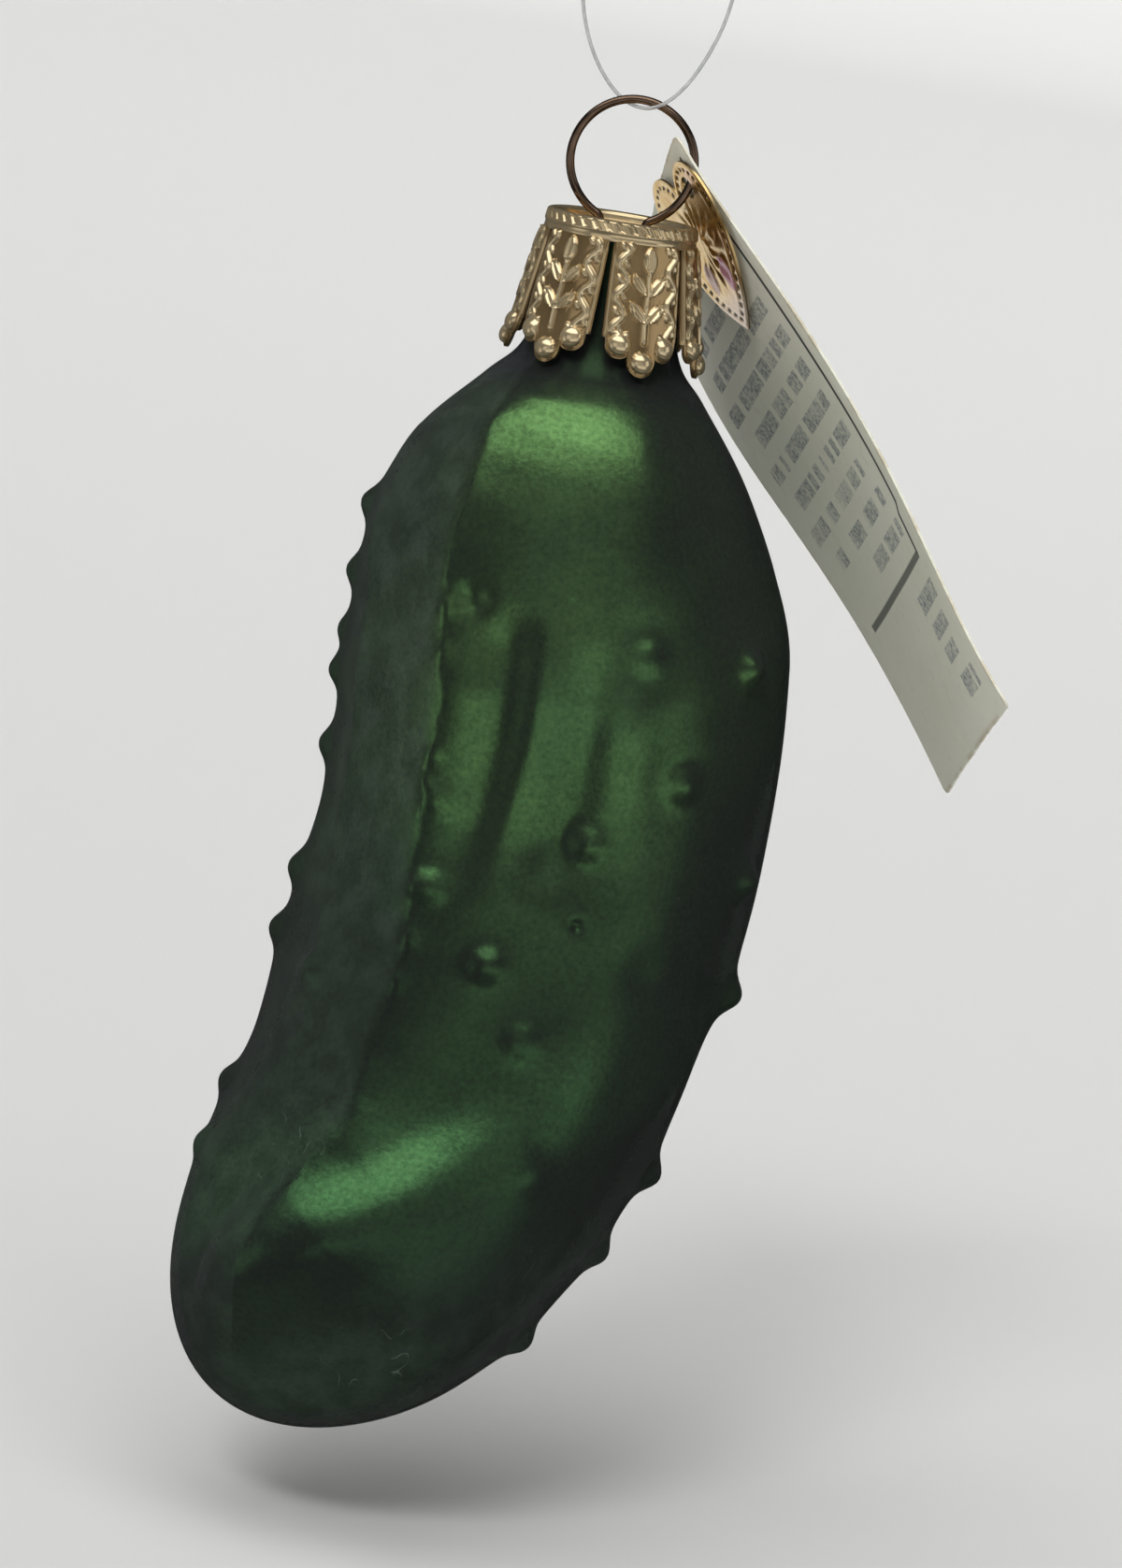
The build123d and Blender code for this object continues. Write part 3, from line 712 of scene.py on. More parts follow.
def petal(k, ny=78, nz=118):
    a = math.radians(CAP_TURN + 60.0 * k)
    s = np.linspace(-1, 1, ny)
    # closer columns near the edges, where the sheet is rolled
    s = np.sign(s) * (1 - (1 - np.abs(s)) ** 1.12)
    t = np.linspace(0, 1, nz)
    S, T = np.meshgrid(s, t)
    z_top = -10.25
    Y0 = S * 3.38
    Z = z_top + (petal_end(Y0) - z_top) * T
    half = petal_half(Z)
    R = skirt_r(Z)
    psi = S * half
    Y = R * np.sin(psi)
    h = petal_relief(Y, Z)
    edge = (1 - np.abs(S)) * R * half
    h += 0.10 * np.exp(-((edge - 0.20) / 0.16) ** 2) * smooth01((-11.0 - Z) / 0.8)
    roll = -0.16 * np.exp(-((edge / 0.14) ** 2)) - 0.10 * np.exp(-(((1 - T) * (z_top - petal_end(Y0)) / 0.16) ** 2))
    bow = 0.16 * (1 - (S * 1.0) ** 2) - 0.05          # petals stand a little proud in their middle
    out = R + h + roll + bow * smooth01((-10.6 - Z) / 2.0)
    inn = R - 0.36 + 0.6 * np.minimum(h, 0.25) * 0.3
    ca, sa = np.cos(a + psi), np.sin(a + psi)
    vo = np.stack([out * ca, out * sa, Z], -1).reshape(-1, 3)
    vi = np.stack([inn * ca, inn * sa, Z], -1).reshape(-1, 3)
    n = ny * nz
    f = grid_faces(nz, ny, wrap=False)
    f += [[q[3] + n, q[2] + n, q[1] + n, q[0] + n] for q in grid_faces(nz, ny, wrap=False)]
    rim_loop = ([i for i in range(ny)] + [i * ny + ny - 1 for i in range(1, nz)]
                + [(nz - 1) * ny + i for i in range(ny - 2, -1, -1)] + [i * ny for i in range(nz - 2, 0, -1)])
    for p, q in zip(rim_loop, rim_loop[1:] + rim_loop[:1]):
        f.append([q, p, p + n, q + n])
    return np.vstack([vo, vi]), f, np.r_[h.ravel(), np.full(n, -0.1)]


def band_bump(a, r, z):
    ring = smooth01((-9.22 - z) / 0.10) * smooth01((z + 9.98) / 0.12) * (r > 5.85)
    w = np.cos(38 * a + (z + 9.6) * 4.2)
    return ring * 0.12 * (np.clip(w, -0.8, 0.55) - 0.55)


band_profile = [(5.30, -9.72), (5.36, -9.46), (5.45, -9.24), (5.60, -9.13), (5.76, -9.10), (5.92, -9.13), (6.05, -9.20)]
band_profile += [(6.12 + 0.012 * i, -9.28 - 0.08 * i) for i in range(10)]
band_profile += [(6.22, -10.06), (6.19, -10.14), (6.15, -10.24), (6.17, -10.45), (6.20, -10.62), (6.16, -10.74), (6.02, -10.78), (5.84, -10.76),
                 (5.80, -10.1), (5.30, -10.08)]
petal_parts = [petal(k) for k in range(PETALS)]
band_part = turned("band", band_profile, 560, band_bump)
cap_parts = [(v, q) for v, q, h in petal_parts] + [band_part]
disc2, disc_t = flat_sheet(circle(0, 0, 5.42, 120), [circle(-1.87, 0, 0.62, 36), circle(1.87, 0, 0.62, 36)], 0.42)
rr = np.hypot(disc2[:, 0], disc2[:, 1])
hole_d = np.minimum(np.hypot(disc2[:, 0] - 1.87, disc2[:, 1]), np.hypot(disc2[:, 0] + 1.87, disc2[:, 1])) - 0.62
disc_h = -9.70 + 0.05 * np.exp(-(((rr - 4.6) / 0.35) ** 2)) - 0.07 * np.exp(-((hole_d / 0.30) ** 2)) - 0.06 * smooth01((4.0 - rr) / 2.0)
cap_v, cap_f = join(cap_parts)
disc_v = np.c_[disc2, disc_h]
disc_part = thick(disc_t, disc_v, np.c_[disc2, np.full(len(disc2), -10.08)])
cap_v, cap_f = join([(cap_v, cap_f), disc_part])
cap = new_mesh("crown_cap", cap_v, cap_f)
set_attr(cap, "relief", np.r_[np.concatenate([h for v, q, h in petal_parts]), np.full(len(band_part[0]), 0.12), np.full(len(disc_part[0]), 0.06)])
tidy(cap, 45.0)

# ------------------------------------------------------------------ card tag: one gently bent sheet
P_HOLE = np.array([4.9429, 0.0, -5.2419])
BEND_A = unit([0.5935, -0.6838, -0.4244])
TAG_N = unit([-0.7769, -0.3492, -0.5239])
BEND_B = np.array([0.2100, 0.6406, -0.7386])
BEND_B = unit(BEND_B - BEND_A * BEND_B.dot(BEND_A) - TAG_N * BEND_B.dot(TAG_N))
BETA, K1, K2, K3 = -0.492, -0.02204, 0.003207, -0.000151
CARD_W, CARD_L, CARD_T = 27.0, 53.6, 0.30
s_tab = np.arange(-18.0, 52.0, 0.02)
th_tab = K1 * s_tab + np.where(s_tab > 0, K2 * s_tab**2 / 2 + K3 * s_tab**3 / 6, 0.0)
x_tab = np.r_[0, np.cumsum(np.cos((th_tab[1:] + th_tab[:-1]) / 2) * 0.02)]
y_tab = np.r_[0, np.cumsum(np.sin((th_tab[1:] + th_tab[:-1]) / 2) * 0.02)]
zero = np.argmin(np.abs(s_tab))
x_tab, y_tab = x_tab - x_tab[zero], y_tab - y_tab[zero]


def card_point(u, v, h):
    """Point of the bent card: u in from the front edge, v down from the top edge, h out of the printed side."""
    uu, vv = u - 2.35, v - 3.4
    a, b = vv * math.cos(BETA) + uu * math.sin(BETA), -vv * math.sin(BETA) + uu * math.cos(BETA)
    x, y, th = np.interp(a, s_tab, x_tab), np.interp(a, s_tab, y_tab), np.interp(a, s_tab, th_tab)
    x, y = x - np.sin(th) * h, y + np.cos(th) * h
    return P_HOLE + x[:, None] * BEND_A + y[:, None] * TAG_N + b[:, None] * BEND_B


def dense(corners, step):
    c = np.asarray(corners, float)
    out = []
    for a, b in zip(c, np.roll(c, -1, 0)):
        n = max(1, int(round(math.dist(a, b) / step)))
        out += [a + (b - a) * i / n for i in range(n)]
    return np.array(out)


card_line = dense([(0.0, 1.0), (0.3, 0.3), (1.0, 0.0), (26.0, 0.0), (26.7, 0.3), (27.0, 1.0), (27.0, 53.0), (26.82, 53.42),
                   (26.4, 53.6), (14.6, 53.6), (13.9, 53.52), (13.2, 53.6), (0.6, 53.6), (0.18, 53.42), (0.0, 53.0)], 0.45)
ragged = 0.03 * np.sin(np.arange(len(card_line)) * 2.4) + 0.02 * np.sin(np.arange(len(card_line)) * 5.1 + 1)
card_line = card_line + (np.array([13.5, 26.8]) - card_line) * (0.0015 + ragged[:, None] * 0.03)
card2, card_t = flat_sheet(card_line, [circle(2.35, 3.4, 1.10, 48)], 0.62)
edge_mm, _ = loop_distance(card2, card_line)
crease = np.abs((card2[:, 0] - 13.9) + 0.10 * (card2[:, 1] - 53.6))
fold = 0.22 * np.exp(-((crease / 0.8) ** 2)) * smooth01((card2[:, 1] - 49.0) / 4.6)
soft = 0.03 * np.sin(card2[:, 0] * 0.55 + 0.4) * np.sin(card2[:, 1] * 0.31 + 1.0) - fold * 0.5
thin = 0.15 - 0.055 * np.exp(-((edge_mm / 0.22) ** 2))
card_top = card_point(card2[:, 0], card2[:, 1], thin + soft)
card_bot = card_point(card2[:, 0], card2[:, 1], -thin + soft)
cv, cf = thick(card_t, card_top, card_bot)
card = new_mesh("card_tag", cv, cf)
for nm, vals in (("u_mm", card2[:, 0]), ("v_mm", card2[:, 1]), ("edge_mm", edge_mm)):
    set_attr(card, nm, np.r_[vals, vals])
set_attr(card, "face", np.r_[np.ones(len(card2)), np.zeros(len(card2))])
tidy(card, 50.0)

# ------------------------------------------------------------------ foil heart
F_HOLE = np.array([4.8103, 0.0, -5.9239])
H_AXIS = np.array([-0.5974, 0.1459, 0.7886])
H_AXIS = unit(H_AXIS - TAG_N * H_AXIS.dot(TAG_N))
H_SIDE = np.array([0.199, -0.9256, 0.3219])
H_SIDE = unit(H_SIDE - TAG_N * H_SIDE.dot(TAG_N) - H_AXIS * H_SIDE.dot(H_AXIS))
H_TIP = F_HOLE - H_AXIS * 12.1 - H_SIDE * 3.2
half_pts = np.array([(0.0, 0.0), (2.4, 1.75), (4.9, 4.5), (6.6, 8.0), (6.75, 10.9), (5.6, 13.3), (3.5, 14.35), (1.5, 13.9), (0.0, 12.3)])
hd = np.r_[0, np.cumsum(np.linalg.norm(np.diff(half_pts, axis=0), axis=1))]
h_sp, _ = not_a_knot(hd, half_pts)
h_half = h_sp(np.linspace(0, hd[-1], 84))
heart_line = np.vstack([h_half, (h_half * (-1, 1))[-2:0:-1]])
heart2, heart_t = flat_sheet(heart_line, [circle(3.2, 12.1, 0.95, 40)], 0.20)
he, harc = loop_distance(heart2, heart_line)
hf, hz = heart2[:, 0], heart2[:, 1]
hole_r = np.hypot(hf - 3.2, hz - 12.1)
clear = smooth01((hole_r - 1.6) / 1.2)
dash = np.exp(-(((he - 0.72) / 0.17) ** 2)) * smooth01((np.sin(harc / 1.02 * 2 * math.pi) + 0.35) / 0.5)
rim_up = 0.07 * np.exp(-(((he - 0.30) / 0.2) ** 2)) + 0.05 * np.exp(-(((he - 1.25) / 0.22) ** 2))
rays_a = np.arctan2(hz - 7.9, hf + 0.2)
rays_r = np.hypot(hz - 7.9, hf + 0.2)
rays = 0.07 * np.sin(rays_a * 15.0 + 0.8 * np.sin(rays_r)) * np.exp(-(((rays_r - 3.0) / 1.7) ** 2)) * smooth01((he - 1.4) / 0.6)
petals_h = np.zeros(len(heart2))
for cx, cz, deg, ln, wd in ((1.9, 4.6, 62, 3.0, 1.7), (-1.5, 4.7, 118, 2.8, 1.5), (0.3, 6.9, 90, 2.6, 1.3), (-3.6, 8.7, 150, 2.6, 1.3), (3.6, 8.3, 40, 2.4, 1.3)):
    c, s = math.cos(math.radians(deg)), math.sin(math.radians(deg))
    uu, ww = (hf - cx) * c + (hz - cz) * s, -(hf - cx) * s + (hz - cz) * c
    q = np.sqrt((uu / (ln / 2)) ** 2 + (ww / (wd / 2)) ** 2)
    petals_h += 0.08 * np.exp(-(((q - 1) * wd / 2 / 0.20) ** 2)) + 0.05 * smooth01((1 - q) / 0.5)
relief = (-0.08 * dash + rim_up + (rays + petals_h) * clear) * 1.0
relief = np.clip(relief, -0.10, 0.13)
curl = 0.10 * smooth01((hz - 10.5) / 3.5) * smooth01((-hf - 1.0) / 4.0) - 0.06 * smooth01((3.0 - hz) / 3.0)


def heart_point(h):
    return H_TIP + hf[:, None] * H_SIDE + hz[:, None] * H_AXIS + h[:, None] * TAG_N


heart_top = heart_point(0.10 + relief + curl)
heart_bot = heart_point(-0.10 + np.minimum(relief, 0.0) * 0.0 + np.maximum(relief, 0) * 0.8 + curl)
hv, hfc = thick(heart_t, heart_top, heart_bot)
heart = new_mesh("foil_heart", hv, hfc)
for nm, vals in (("f_mm", hf), ("e_mm", hz), ("edge_mm", he), ("arc_mm", harc)):
    set_attr(heart, nm, np.r_[vals, vals])
set_attr(heart, "face", np.r_[np.ones(len(hf)), np.zeros(len(hf))])
tidy(heart, 42.0)

# ------------------------------------------------------------------ thread and knot
ROUTE = [(-0.35, 0.12, 21.4), (-2.55, 0.30, 19.2), (-4.90, 0.45, 16.0), (-6.30, 0.60, 12.1), (-6.20, 0.75, 7.90),
         (-4.90, 0.85, 3.95), (-3.00, 0.90, 1.20), (-1.00, 0.62, -0.28), (1.00, -0.62, -0.30), (2.85, -0.90, 1.25),
         (4.35, -0.85, 3.85), (5.70, -0.75, 7.70), (6.00, -0.60, 11.9), (4.75, -0.45, 15.9), (2.45, -0.30, 19.2),
         (0.35, -0.12, 21.4)]
cu = bpy.data.curves.new("nylon_thread", "CURVE")
cu.dimensions = "3D"
sp = cu.splines.new("NURBS")
sp.points.add(len(ROUTE) - 1)
for p, q in zip(sp.points, ROUTE):
    p.co = (q[0] * MM, q[1] * MM, q[2] * MM, 1.0)
sp.order_u = 3
sp.use_endpoint_u = True
sp.resolution_u = 12
cu.bevel_depth = 0.15 * MM
cu.bevel_resolution = 5
cu.use_fill_caps = True
thread = bpy.data.objects.new("nylon_thread", cu)
bpy.context.scene.collection.objects.link(thread)

kt = np.linspace(0, 1, 200)
turns = 4.6
knot_r = 0.52 + 0.10 * np.sin(kt * math.pi)
wind = np.c_[knot_r * np.cos(kt * turns * 2 * math.pi), knot_r * np.sin(kt * turns * 2 * math.pi), 21.55 + 1.42 * kt]
core = np.c_[0.12 * np.cos(kt * 6), 0.12 * np.sin(kt * 6), 21.42 + 1.7 * kt]
tail = np.array([(0.10, 0.05, 22.6), (0.16, 0.12, 23.0), (0.26, 0.2, 23.3), (0.36, 0.22, 23.5)])
tail2 = np.array([(-0.12, -0.05, 22.6), (-0.2, -0.12, 23.0), (-0.22, -0.22, 23.25), (-0.34, -0.3, 23.45)])
knot_v, knot_f = join([sweep(wind, 0.17, 14), sweep(core, 0.36, 18), sweep(tail, 0.14, 12), sweep(tail2, 0.14, 12)])
knot = tidy(new_mesh("thread_barrel_knot", knot_v, knot_f), 60.0)


# ------------------------------------------------------------------ materials
# green lacquer over a silvered glass: satin, with a fine grain
g = Mat("satin_green_lacquer")
obj_co = g.coords()
grain = g.noise(2300.0, 2.0, 0.6, obj_co)
patch = g.noise(210.0, 3.0, 0.55, obj_co)
broad = g.noise(46.0, 2.0, 0.5, obj_co)
tone = g.math("ADD", g.math("MULTIPLY", grain, 0.62), g.math("MULTIPLY", patch, 0.38))
spl = g.node("ShaderNodeSeparateXYZ")
g.link(obj_co, spl.inputs[0])
drop = g.smooth(spl.outputs[2], -0.096, -0.030)          # 1 at the shoulder, 0 at the lower end
# the lacquer is yellower near the shoulder and bluer towards the lower end; the lower colours are also darker, a
# painted shade
warm = g.ramp(tone, [(0.33, (0.060, 0.135, 0.040)), (0.52, (0.105, 0.225, 0.070)), (0.70, (0.150, 0.305, 0.100))])
cold = g.ramp(tone, [(0.33, (0.036, 0.110, 0.036)), (0.52, (0.066, 0.190, 0.066)), (0.70, (0.098, 0.260, 0.092))])
green = g.mix(drop, cold, warm)
cool = g.mix(g.smooth(broad, 0.42, 0.66), green, g.mix(0.35, green, (0.030, 0.100, 0.045)))
# painted shade: the neck just under the cap is darkened almost to black, standing in for the cap's shade
neck_dark = g.smooth(spl.outputs[2], -0.0245, -0.0215)
cool = g.mix(g.math("MULTIPLY", neck_dark, 0.9), cool, (0.006, 0.014, 0.007))
# painted shade: the colour is darkened in bands round the lower middle and at the end, standing in for dark reflections
# there
lean = g.math("SUBTRACT", spl.outputs[2], g.math("MULTIPLY", spl.outputs[0], 0.45))
coat = g.ramp(g.math("DIVIDE", g.math("ADD", lean, 0.105), 0.060),
              [(0.300, (0.26,) * 3), (0.355, (0.78,) * 3), (0.44, (0.78,) * 3), (0.51, (0.38,) * 3), (0.69, (0.42,) * 3), (0.84, (1.0,) * 3)])
cool = g.mix(coat, (0.004, 0.011, 0.005), cool)
seam = g.math("ABSOLUTE", g.attr("seam_mm"))
seam_break = g.smooth(g.noise(420.0, 2.0, 0.6, obj_co), 0.47, 0.60)
seam_line = g.math("MULTIPLY", g.math("SUBTRACT", 1.0, g.smooth(seam, 0.04, 0.22)), seam_break)
col = g.mix(g.math("MULTIPLY", seam_line, 0.55), cool, (0.010, 0.024, 0.012))
# dust: rare tiny pale specks
vor = g.node("ShaderNodeTexVoronoi", feature="F1")
vor.inputs["Scale"].default_value = 150.0
g.link(obj_co, vor.inputs["Vector"])
pick = g.node("ShaderNodeSeparateColor")
g.link(vor.outputs["Color"], pick.inputs[0])
size = g.math("MULTIPLY", g.smooth(pick.outputs[0], 0.80, 1.0), 0.016)
dust = g.math("LESS_THAN", vor.outputs["Distance"], size)
col = g.mix(dust, col, (0.85, 0.86, 0.82))
# painted sheen: the left face and the end are duller and painted with a grey-violet veil, standing in for the light
# haze seen there; also a few fine scuffs
left_face = g.math("MULTIPLY", g.smooth(g.attr("seam_mm"), 0.15, 1.2), g.math("SUBTRACT", 1.0, g.smooth(g.attr("seam_mm"), 11.0, 19.0)))
faces = g.math("MAXIMUM", left_face, g.math("SUBTRACT", 1.0, g.smooth(lean, -0.0985, -0.0890)))
film = g.math("MULTIPLY", faces, g.mixf(g.smooth(g.noise(330.0, 4.0, 0.65, obj_co), 0.38, 0.66), 0.09, 0.24))
near = None
for place in ((-0.0150, -0.0178, -0.0852), (-0.0050, -0.0195, -0.1000), (0.0075, -0.0140, -0.0930)):
    q = g.math("SUBTRACT", 1.0, g.smooth(g.vmath("DISTANCE", obj_co, place, out="Value"), 0.0015, 0.0060))
    near = q if near is None else g.math("MAXIMUM", near, q)
hair = g.math("ABSOLUTE", g.math("SUBTRACT", g.noise(300.0, 1.5, 0.5, obj_co), 0.5))
scuff = g.math("MULTIPLY", g.math("MULTIPLY", g.math("SUBTRACT", 1.0, g.smooth(hair, 0.002, 0.008)), near), g.math("MULTIPLY", g.smooth(g.noise(520.0, 1.0, 0.5, obj_co), 0.48, 0.60), 0.30))
# painted sheen: the upper part of the left face is greyed towards blue-grey
col = g.mix(g.math("MULTIPLY", g.math("MULTIPLY", left_face, drop), 0.22), col, (0.020, 0.026, 0.030))
col = g.mix(film, col, g.ramp(drop, [(0.25, (0.105, 0.115, 0.120)), (0.75, (0.130, 0.098, 0.185))]))
col = g.mix(scuff, col, (0.42, 0.50, 0.45))
dull = g.math("MINIMUM", g.math("ADD", dust, g.math("ADD", film, scuff)), 1.0)
hgt = g.math("ADD", g.math("MULTIPLY", grain, 0.55), g.math("MULTIPLY", patch, 0.45))
nrm = g.bump(hgt, 0.34, 0.00010)
g.set(Base_Color=col, Metallic=g.math("SUBTRACT", 1.0, dull), Roughness=g.math("ADD", 0.275, g.math("MULTIPLY", patch, 0.06)),
      Specular_Tint=(0.12, 0.20, 0.13), Coat_Weight=0.12, Coat_Roughness=0.6, Coat_IOR=1.40,
      Sheen_Weight=0.048, Sheen_Roughness=0.9, Sheen_Tint=(0.92, 0.93, 1.0), Normal=nrm)
green_mat = g.m

# bare silvered glass of the neck's mouth and inside
s = Mat("silvered_glass")
sn = s.noise(900.0, 3.0, 0.5)
s.set(Base_Color=s.ramp(sn, [(0.3, (0.52, 0.53, 0.50)), (0.7, (0.80, 0.80, 0.77))]), Metallic=1.0, Roughness=0.24,
      Coat_Weight=0.8, Coat_Roughness=0.05)
glass.data.materials.append(green_mat)
glass.data.materials.append(s.m)

# champagne-gold stamped metal
c = Mat("champagne_gold")
cn = c.noise(1500.0, 3.0, 0.6)
cb = c.noise(260.0, 2.0, 0.5)
gold = c.ramp(cb, [(0.32, (0.66, 0.465, 0.215)), (0.68, (0.79, 0.585, 0.300))])
rel = c.attr("relief")
# darker on the flat ground and in hollows, paler on the raised strokes and beads
worn = c.mix(c.smooth(rel, 0.0, 0.16), c.mix(0.50, gold, (0.20, 0.115, 0.05)), c.mix(0.5, gold, (1.0, 0.87, 0.60)))
c.set(Base_Color=worn, Metallic=0.82, Roughness=c.math("ADD", 0.15, c.math("MULTIPLY", cn, 0.06)),
      Normal=c.bump(cn, 0.06, 0.00005))
cap.data.materials.append(c.m)

# dark bronze spring wire
w = Mat("bronze_wire")
wn = w.noise(700.0, 4.0, 0.6)
w.set(Base_Color=w.ramp(wn, [(0.3, (0.15, 0.098, 0.066)), (0.7, (0.30, 0.205, 0.145))]), Metallic=1.0,
      Roughness=w.math("ADD", 0.14, w.math("MULTIPLY", wn, 0.10)), Normal=w.bump(wn, 0.12, 0.00005))
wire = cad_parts["hanger_wire"]
wire.data.materials.clear()
wire.data.materials.append(w.m)

# gold foil with pink enamel patches and a stitched border
f = Mat("gold_foil")
fx, fe, fd, fa = f.attr("f_mm"), f.attr("e_mm"), f.attr("edge_mm"), f.attr("arc_mm")
fn = f.noise(520.0, 3.0, 0.6)
fcol = f.ramp(fn, [(0.30, (0.62, 0.40, 0.14)), (0.52, (0.82, 0.60, 0.28)), (0.74, (0.94, 0.76, 0.46))])


def blob(cx, cy, rx, ry, lo, hi):
    a, b = f.math("DIVIDE", f.math("SUBTRACT", fx, cx), rx), f.math("DIVIDE", f.math("SUBTRACT", fe, cy), ry)
    q = f.math("SQRT", f.math("ADD", f.math("MULTIPLY", a, a), f.math("MULTIPLY", b, b)))
    q = f.math("ADD", q, f.math("MULTIPLY", f.math("SUBTRACT", f.noise(700.0, 2.0, 0.5), 0.5), 0.35))
    return f.math("SUBTRACT", 1.0, f.smooth(q, lo, hi))


front = f.attr("face")
pale = f.math("MULTIPLY", f.math("SUBTRACT", 1.0, f.smooth(fe, 1.6, 4.4)), front)
fcol = f.mix(f.math("MULTIPLY", pale, 0.85), fcol, (0.92, 0.76, 0.62))
pink1, pink2 = blob(2.05, 4.7, 1.15, 1.75, 0.75, 1.05), blob(-2.0, 5.0, 1.05, 1.5, 0.7, 1.1)
pink3 = blob(4.6, 12.6, 1.0, 1.0, 0.6, 1.1)
fcol = f.mix(f.math("MULTIPLY", pink1, front), fcol, (0.66, 0.30, 0.38))
fcol = f.mix(f.math("MULTIPLY", f.math("MULTIPLY", pink2, front), 0.75), fcol, (0.82, 0.56, 0.54))
fcol = f.mix(f.math("MULTIPLY", f.math("MULTIPLY", pink3, front), 0.6), fcol, (0.90, 0.66, 0.56))
on = f.math("MULTIPLY", f.smooth(fd, 0.52, 0.60), f.math("SUBTRACT", 1.0, f.smooth(fd, 0.86, 0.94)))
beat = f.math("FRACT", f.math("DIVIDE", fa, 1.02))
dash_m = f.math("MULTIPLY", on, f.math("LESS_THAN", beat, 0.52))
fcol = f.mix(f.math("MULTIPLY", f.math("MULTIPLY", dash_m, front), 0.92), fcol, (0.035, 0.025, 0.018))
enamel = f.math("MULTIPLY", f.math("MAXIMUM", f.math("MAXIMUM", pink1, pink2), f.math("MULTIPLY", pale, 0.6)), front)
f.set(Base_Color=fcol, Metallic=f.math("SUBTRACT", 1.0, f.math("MULTIPLY", enamel, 0.75)),
      Roughness=f.math("ADD", 0.17, f.math("MULTIPLY", fn, 0.16)), Normal=f.bump(fn, 0.15, 0.00006))
heart.data.materials.append(f.m)

# cream card with rows of grey print and a ruled border
p = Mat("cream_card")
pu, pv, pe = p.attr("u_mm"), p.attr("v_mm"), p.attr("edge_mm")
p_front = p.attr("face")
fib = p.noise(900.0, 5.0, 0.65)
mott = p.noise(60.0, 3.0, 0.55)
paper = p.ramp(mott, [(0.30, (0.835, 0.825, 0.690)), (0.70, (0.90, 0.885, 0.775))])
paper = p.mix(p.math("MULTIPLY", p.smooth(fib, 0.52, 0.75), 0.22), paper, (0.60, 0.58, 0.45))


def between(x, lo, hi, soft=0.06):
    return p.math("MULTIPLY", p.smooth(x, lo - soft, lo + soft), p.math("SUBTRACT", 1.0, p.smooth(x, hi - soft, hi + soft)))


ink_break = p.smooth(p.noise(620.0, 3.0, 0.7), 0.36, 0.60)


def combine(x, y, z=0.0):
    n = p.node("ShaderNodeCombineXYZ")
    for i, q in enumerate((x, y, z)):
        p.val(n.inputs[i], q)
    return n.outputs[0]


def word_gaps(seed, scale):
    n = p.node("ShaderNodeTexNoise")
    n.inputs["Scale"].default_value = scale
    n.inputs["Detail"].default_value = 0.0
    p.link(combine(pu, seed), n.inputs["Vector"])
    return p.smooth(n.outputs["Fac"], 0.40, 0.46)


ink = None
rows = [(8.6 + 3.05 * i, 3.6 + 0.25 * (i % 3), (22.6, 24.0, 23.2, 24.4, 21.8, 23.8, 22.4, 24.2, 23.0, 14.5)[i]) for i in range(10)]
for i, (vc, u0, u1) in enumerate(rows):
    row = p.math("MULTIPLY", between(pv, vc - 0.78, vc + 0.78), between(pu, u0, u1))
    row = p.math("MULTIPLY", row, word_gaps(i * 7.31, 0.55))
    ink = row if ink is None else p.math("MAXIMUM", ink, row)
for i, (vc, u0, u1, hh) in enumerate(((41.9, 2.2, 8.6, 0.8), (44.4, 3.0, 8.0, 0.7), (46.6, 3.8, 7.6, 0.7), (49.6, 2.4, 6.6, 1.0))):
    row = p.math("MULTIPLY", between(pv, vc - hh, vc + hh), between(pu, u0, u1))
    row = p.math("MULTIPLY", row, word_gaps(50 + i * 5.7, 0.8))
    ink = p.math("MAXIMUM", ink, row)
strokes = p.node("ShaderNodeTexNoise")
strokes.inputs["Scale"].default_value = 3.2
strokes.inputs["Detail"].default_value = 2.0
p.link(combine(pu, p.math("MULTIPLY", pv, 0.8)), strokes.inputs["Vector"])
letters = p.mixf(p.smooth(strokes.outputs["Fac"], 0.44, 0.58), 0.45, 1.0)
ink = p.math("MULTIPLY", p.math("MULTIPLY", ink, letters), p.mixf(ink_break, 0.55, 1.0))
paper = p.mix(p.math("MULTIPLY", p.math("MULTIPLY", ink, p_front), 0.86), paper, (0.19, 0.22, 0.235))
line_v = p.math("MULTIPLY", between(pu, 1.60, 2.02, 0.05), between(pv, 1.5, 34.6))
jog_u = p.math("SUBTRACT", pu, p.math("ADD", 1.81, p.math("MULTIPLY", p.smooth(pv, 34.4, 35.6), 0.75)))
line_j = p.math("MULTIPLY", between(jog_u, -0.21, 0.21, 0.05), between(pv, 34.2, 39.0))
line_h = p.math("MULTIPLY", between(pv, 38.65, 39.30, 0.08), between(pu, 2.4, 23.6))
rule = p.math("MAXIMUM", p.math("MAXIMUM", line_v, line_j), p.math("MULTIPLY", line_h, 0.8))
paper = p.mix(p.math("MULTIPLY", p.math("MULTIPLY", rule, p_front), 0.95), paper, (0.035, 0.038, 0.042))
worn_edge = p.math("MULTIPLY", p.math("SUBTRACT", 1.0, p.smooth(pe, 0.05, 0.50)), p.smooth(p.noise(330.0, 4.0, 0.6), 0.40, 0.62))
paper = p.mix(p.math("MULTIPLY", worn_edge, 0.55), paper, (0.50, 0.40, 0.24))
p.set(Base_Color=paper, Roughness=0.72, Specular_IOR_Level=0.30, Normal=p.bump(fib, 0.22, 0.00006))
card.data.materials.append(p.m)

# clear nylon thread
t = Mat("clear_nylon")
tn = t.noise(1500.0, 2.0, 0.5)
t.set(Base_Color=t.ramp(tn, [(0.3, (0.62, 0.63, 0.63)), (0.7, (0.80, 0.80, 0.79))]), Roughness=t.math("ADD", 0.12, t.math("MULTIPLY", tn, 0.12)),
      Transmission_Weight=0.55, IOR=1.53)
thread.data.materials.append(t.m)
knot.data.materials.append(t.m)

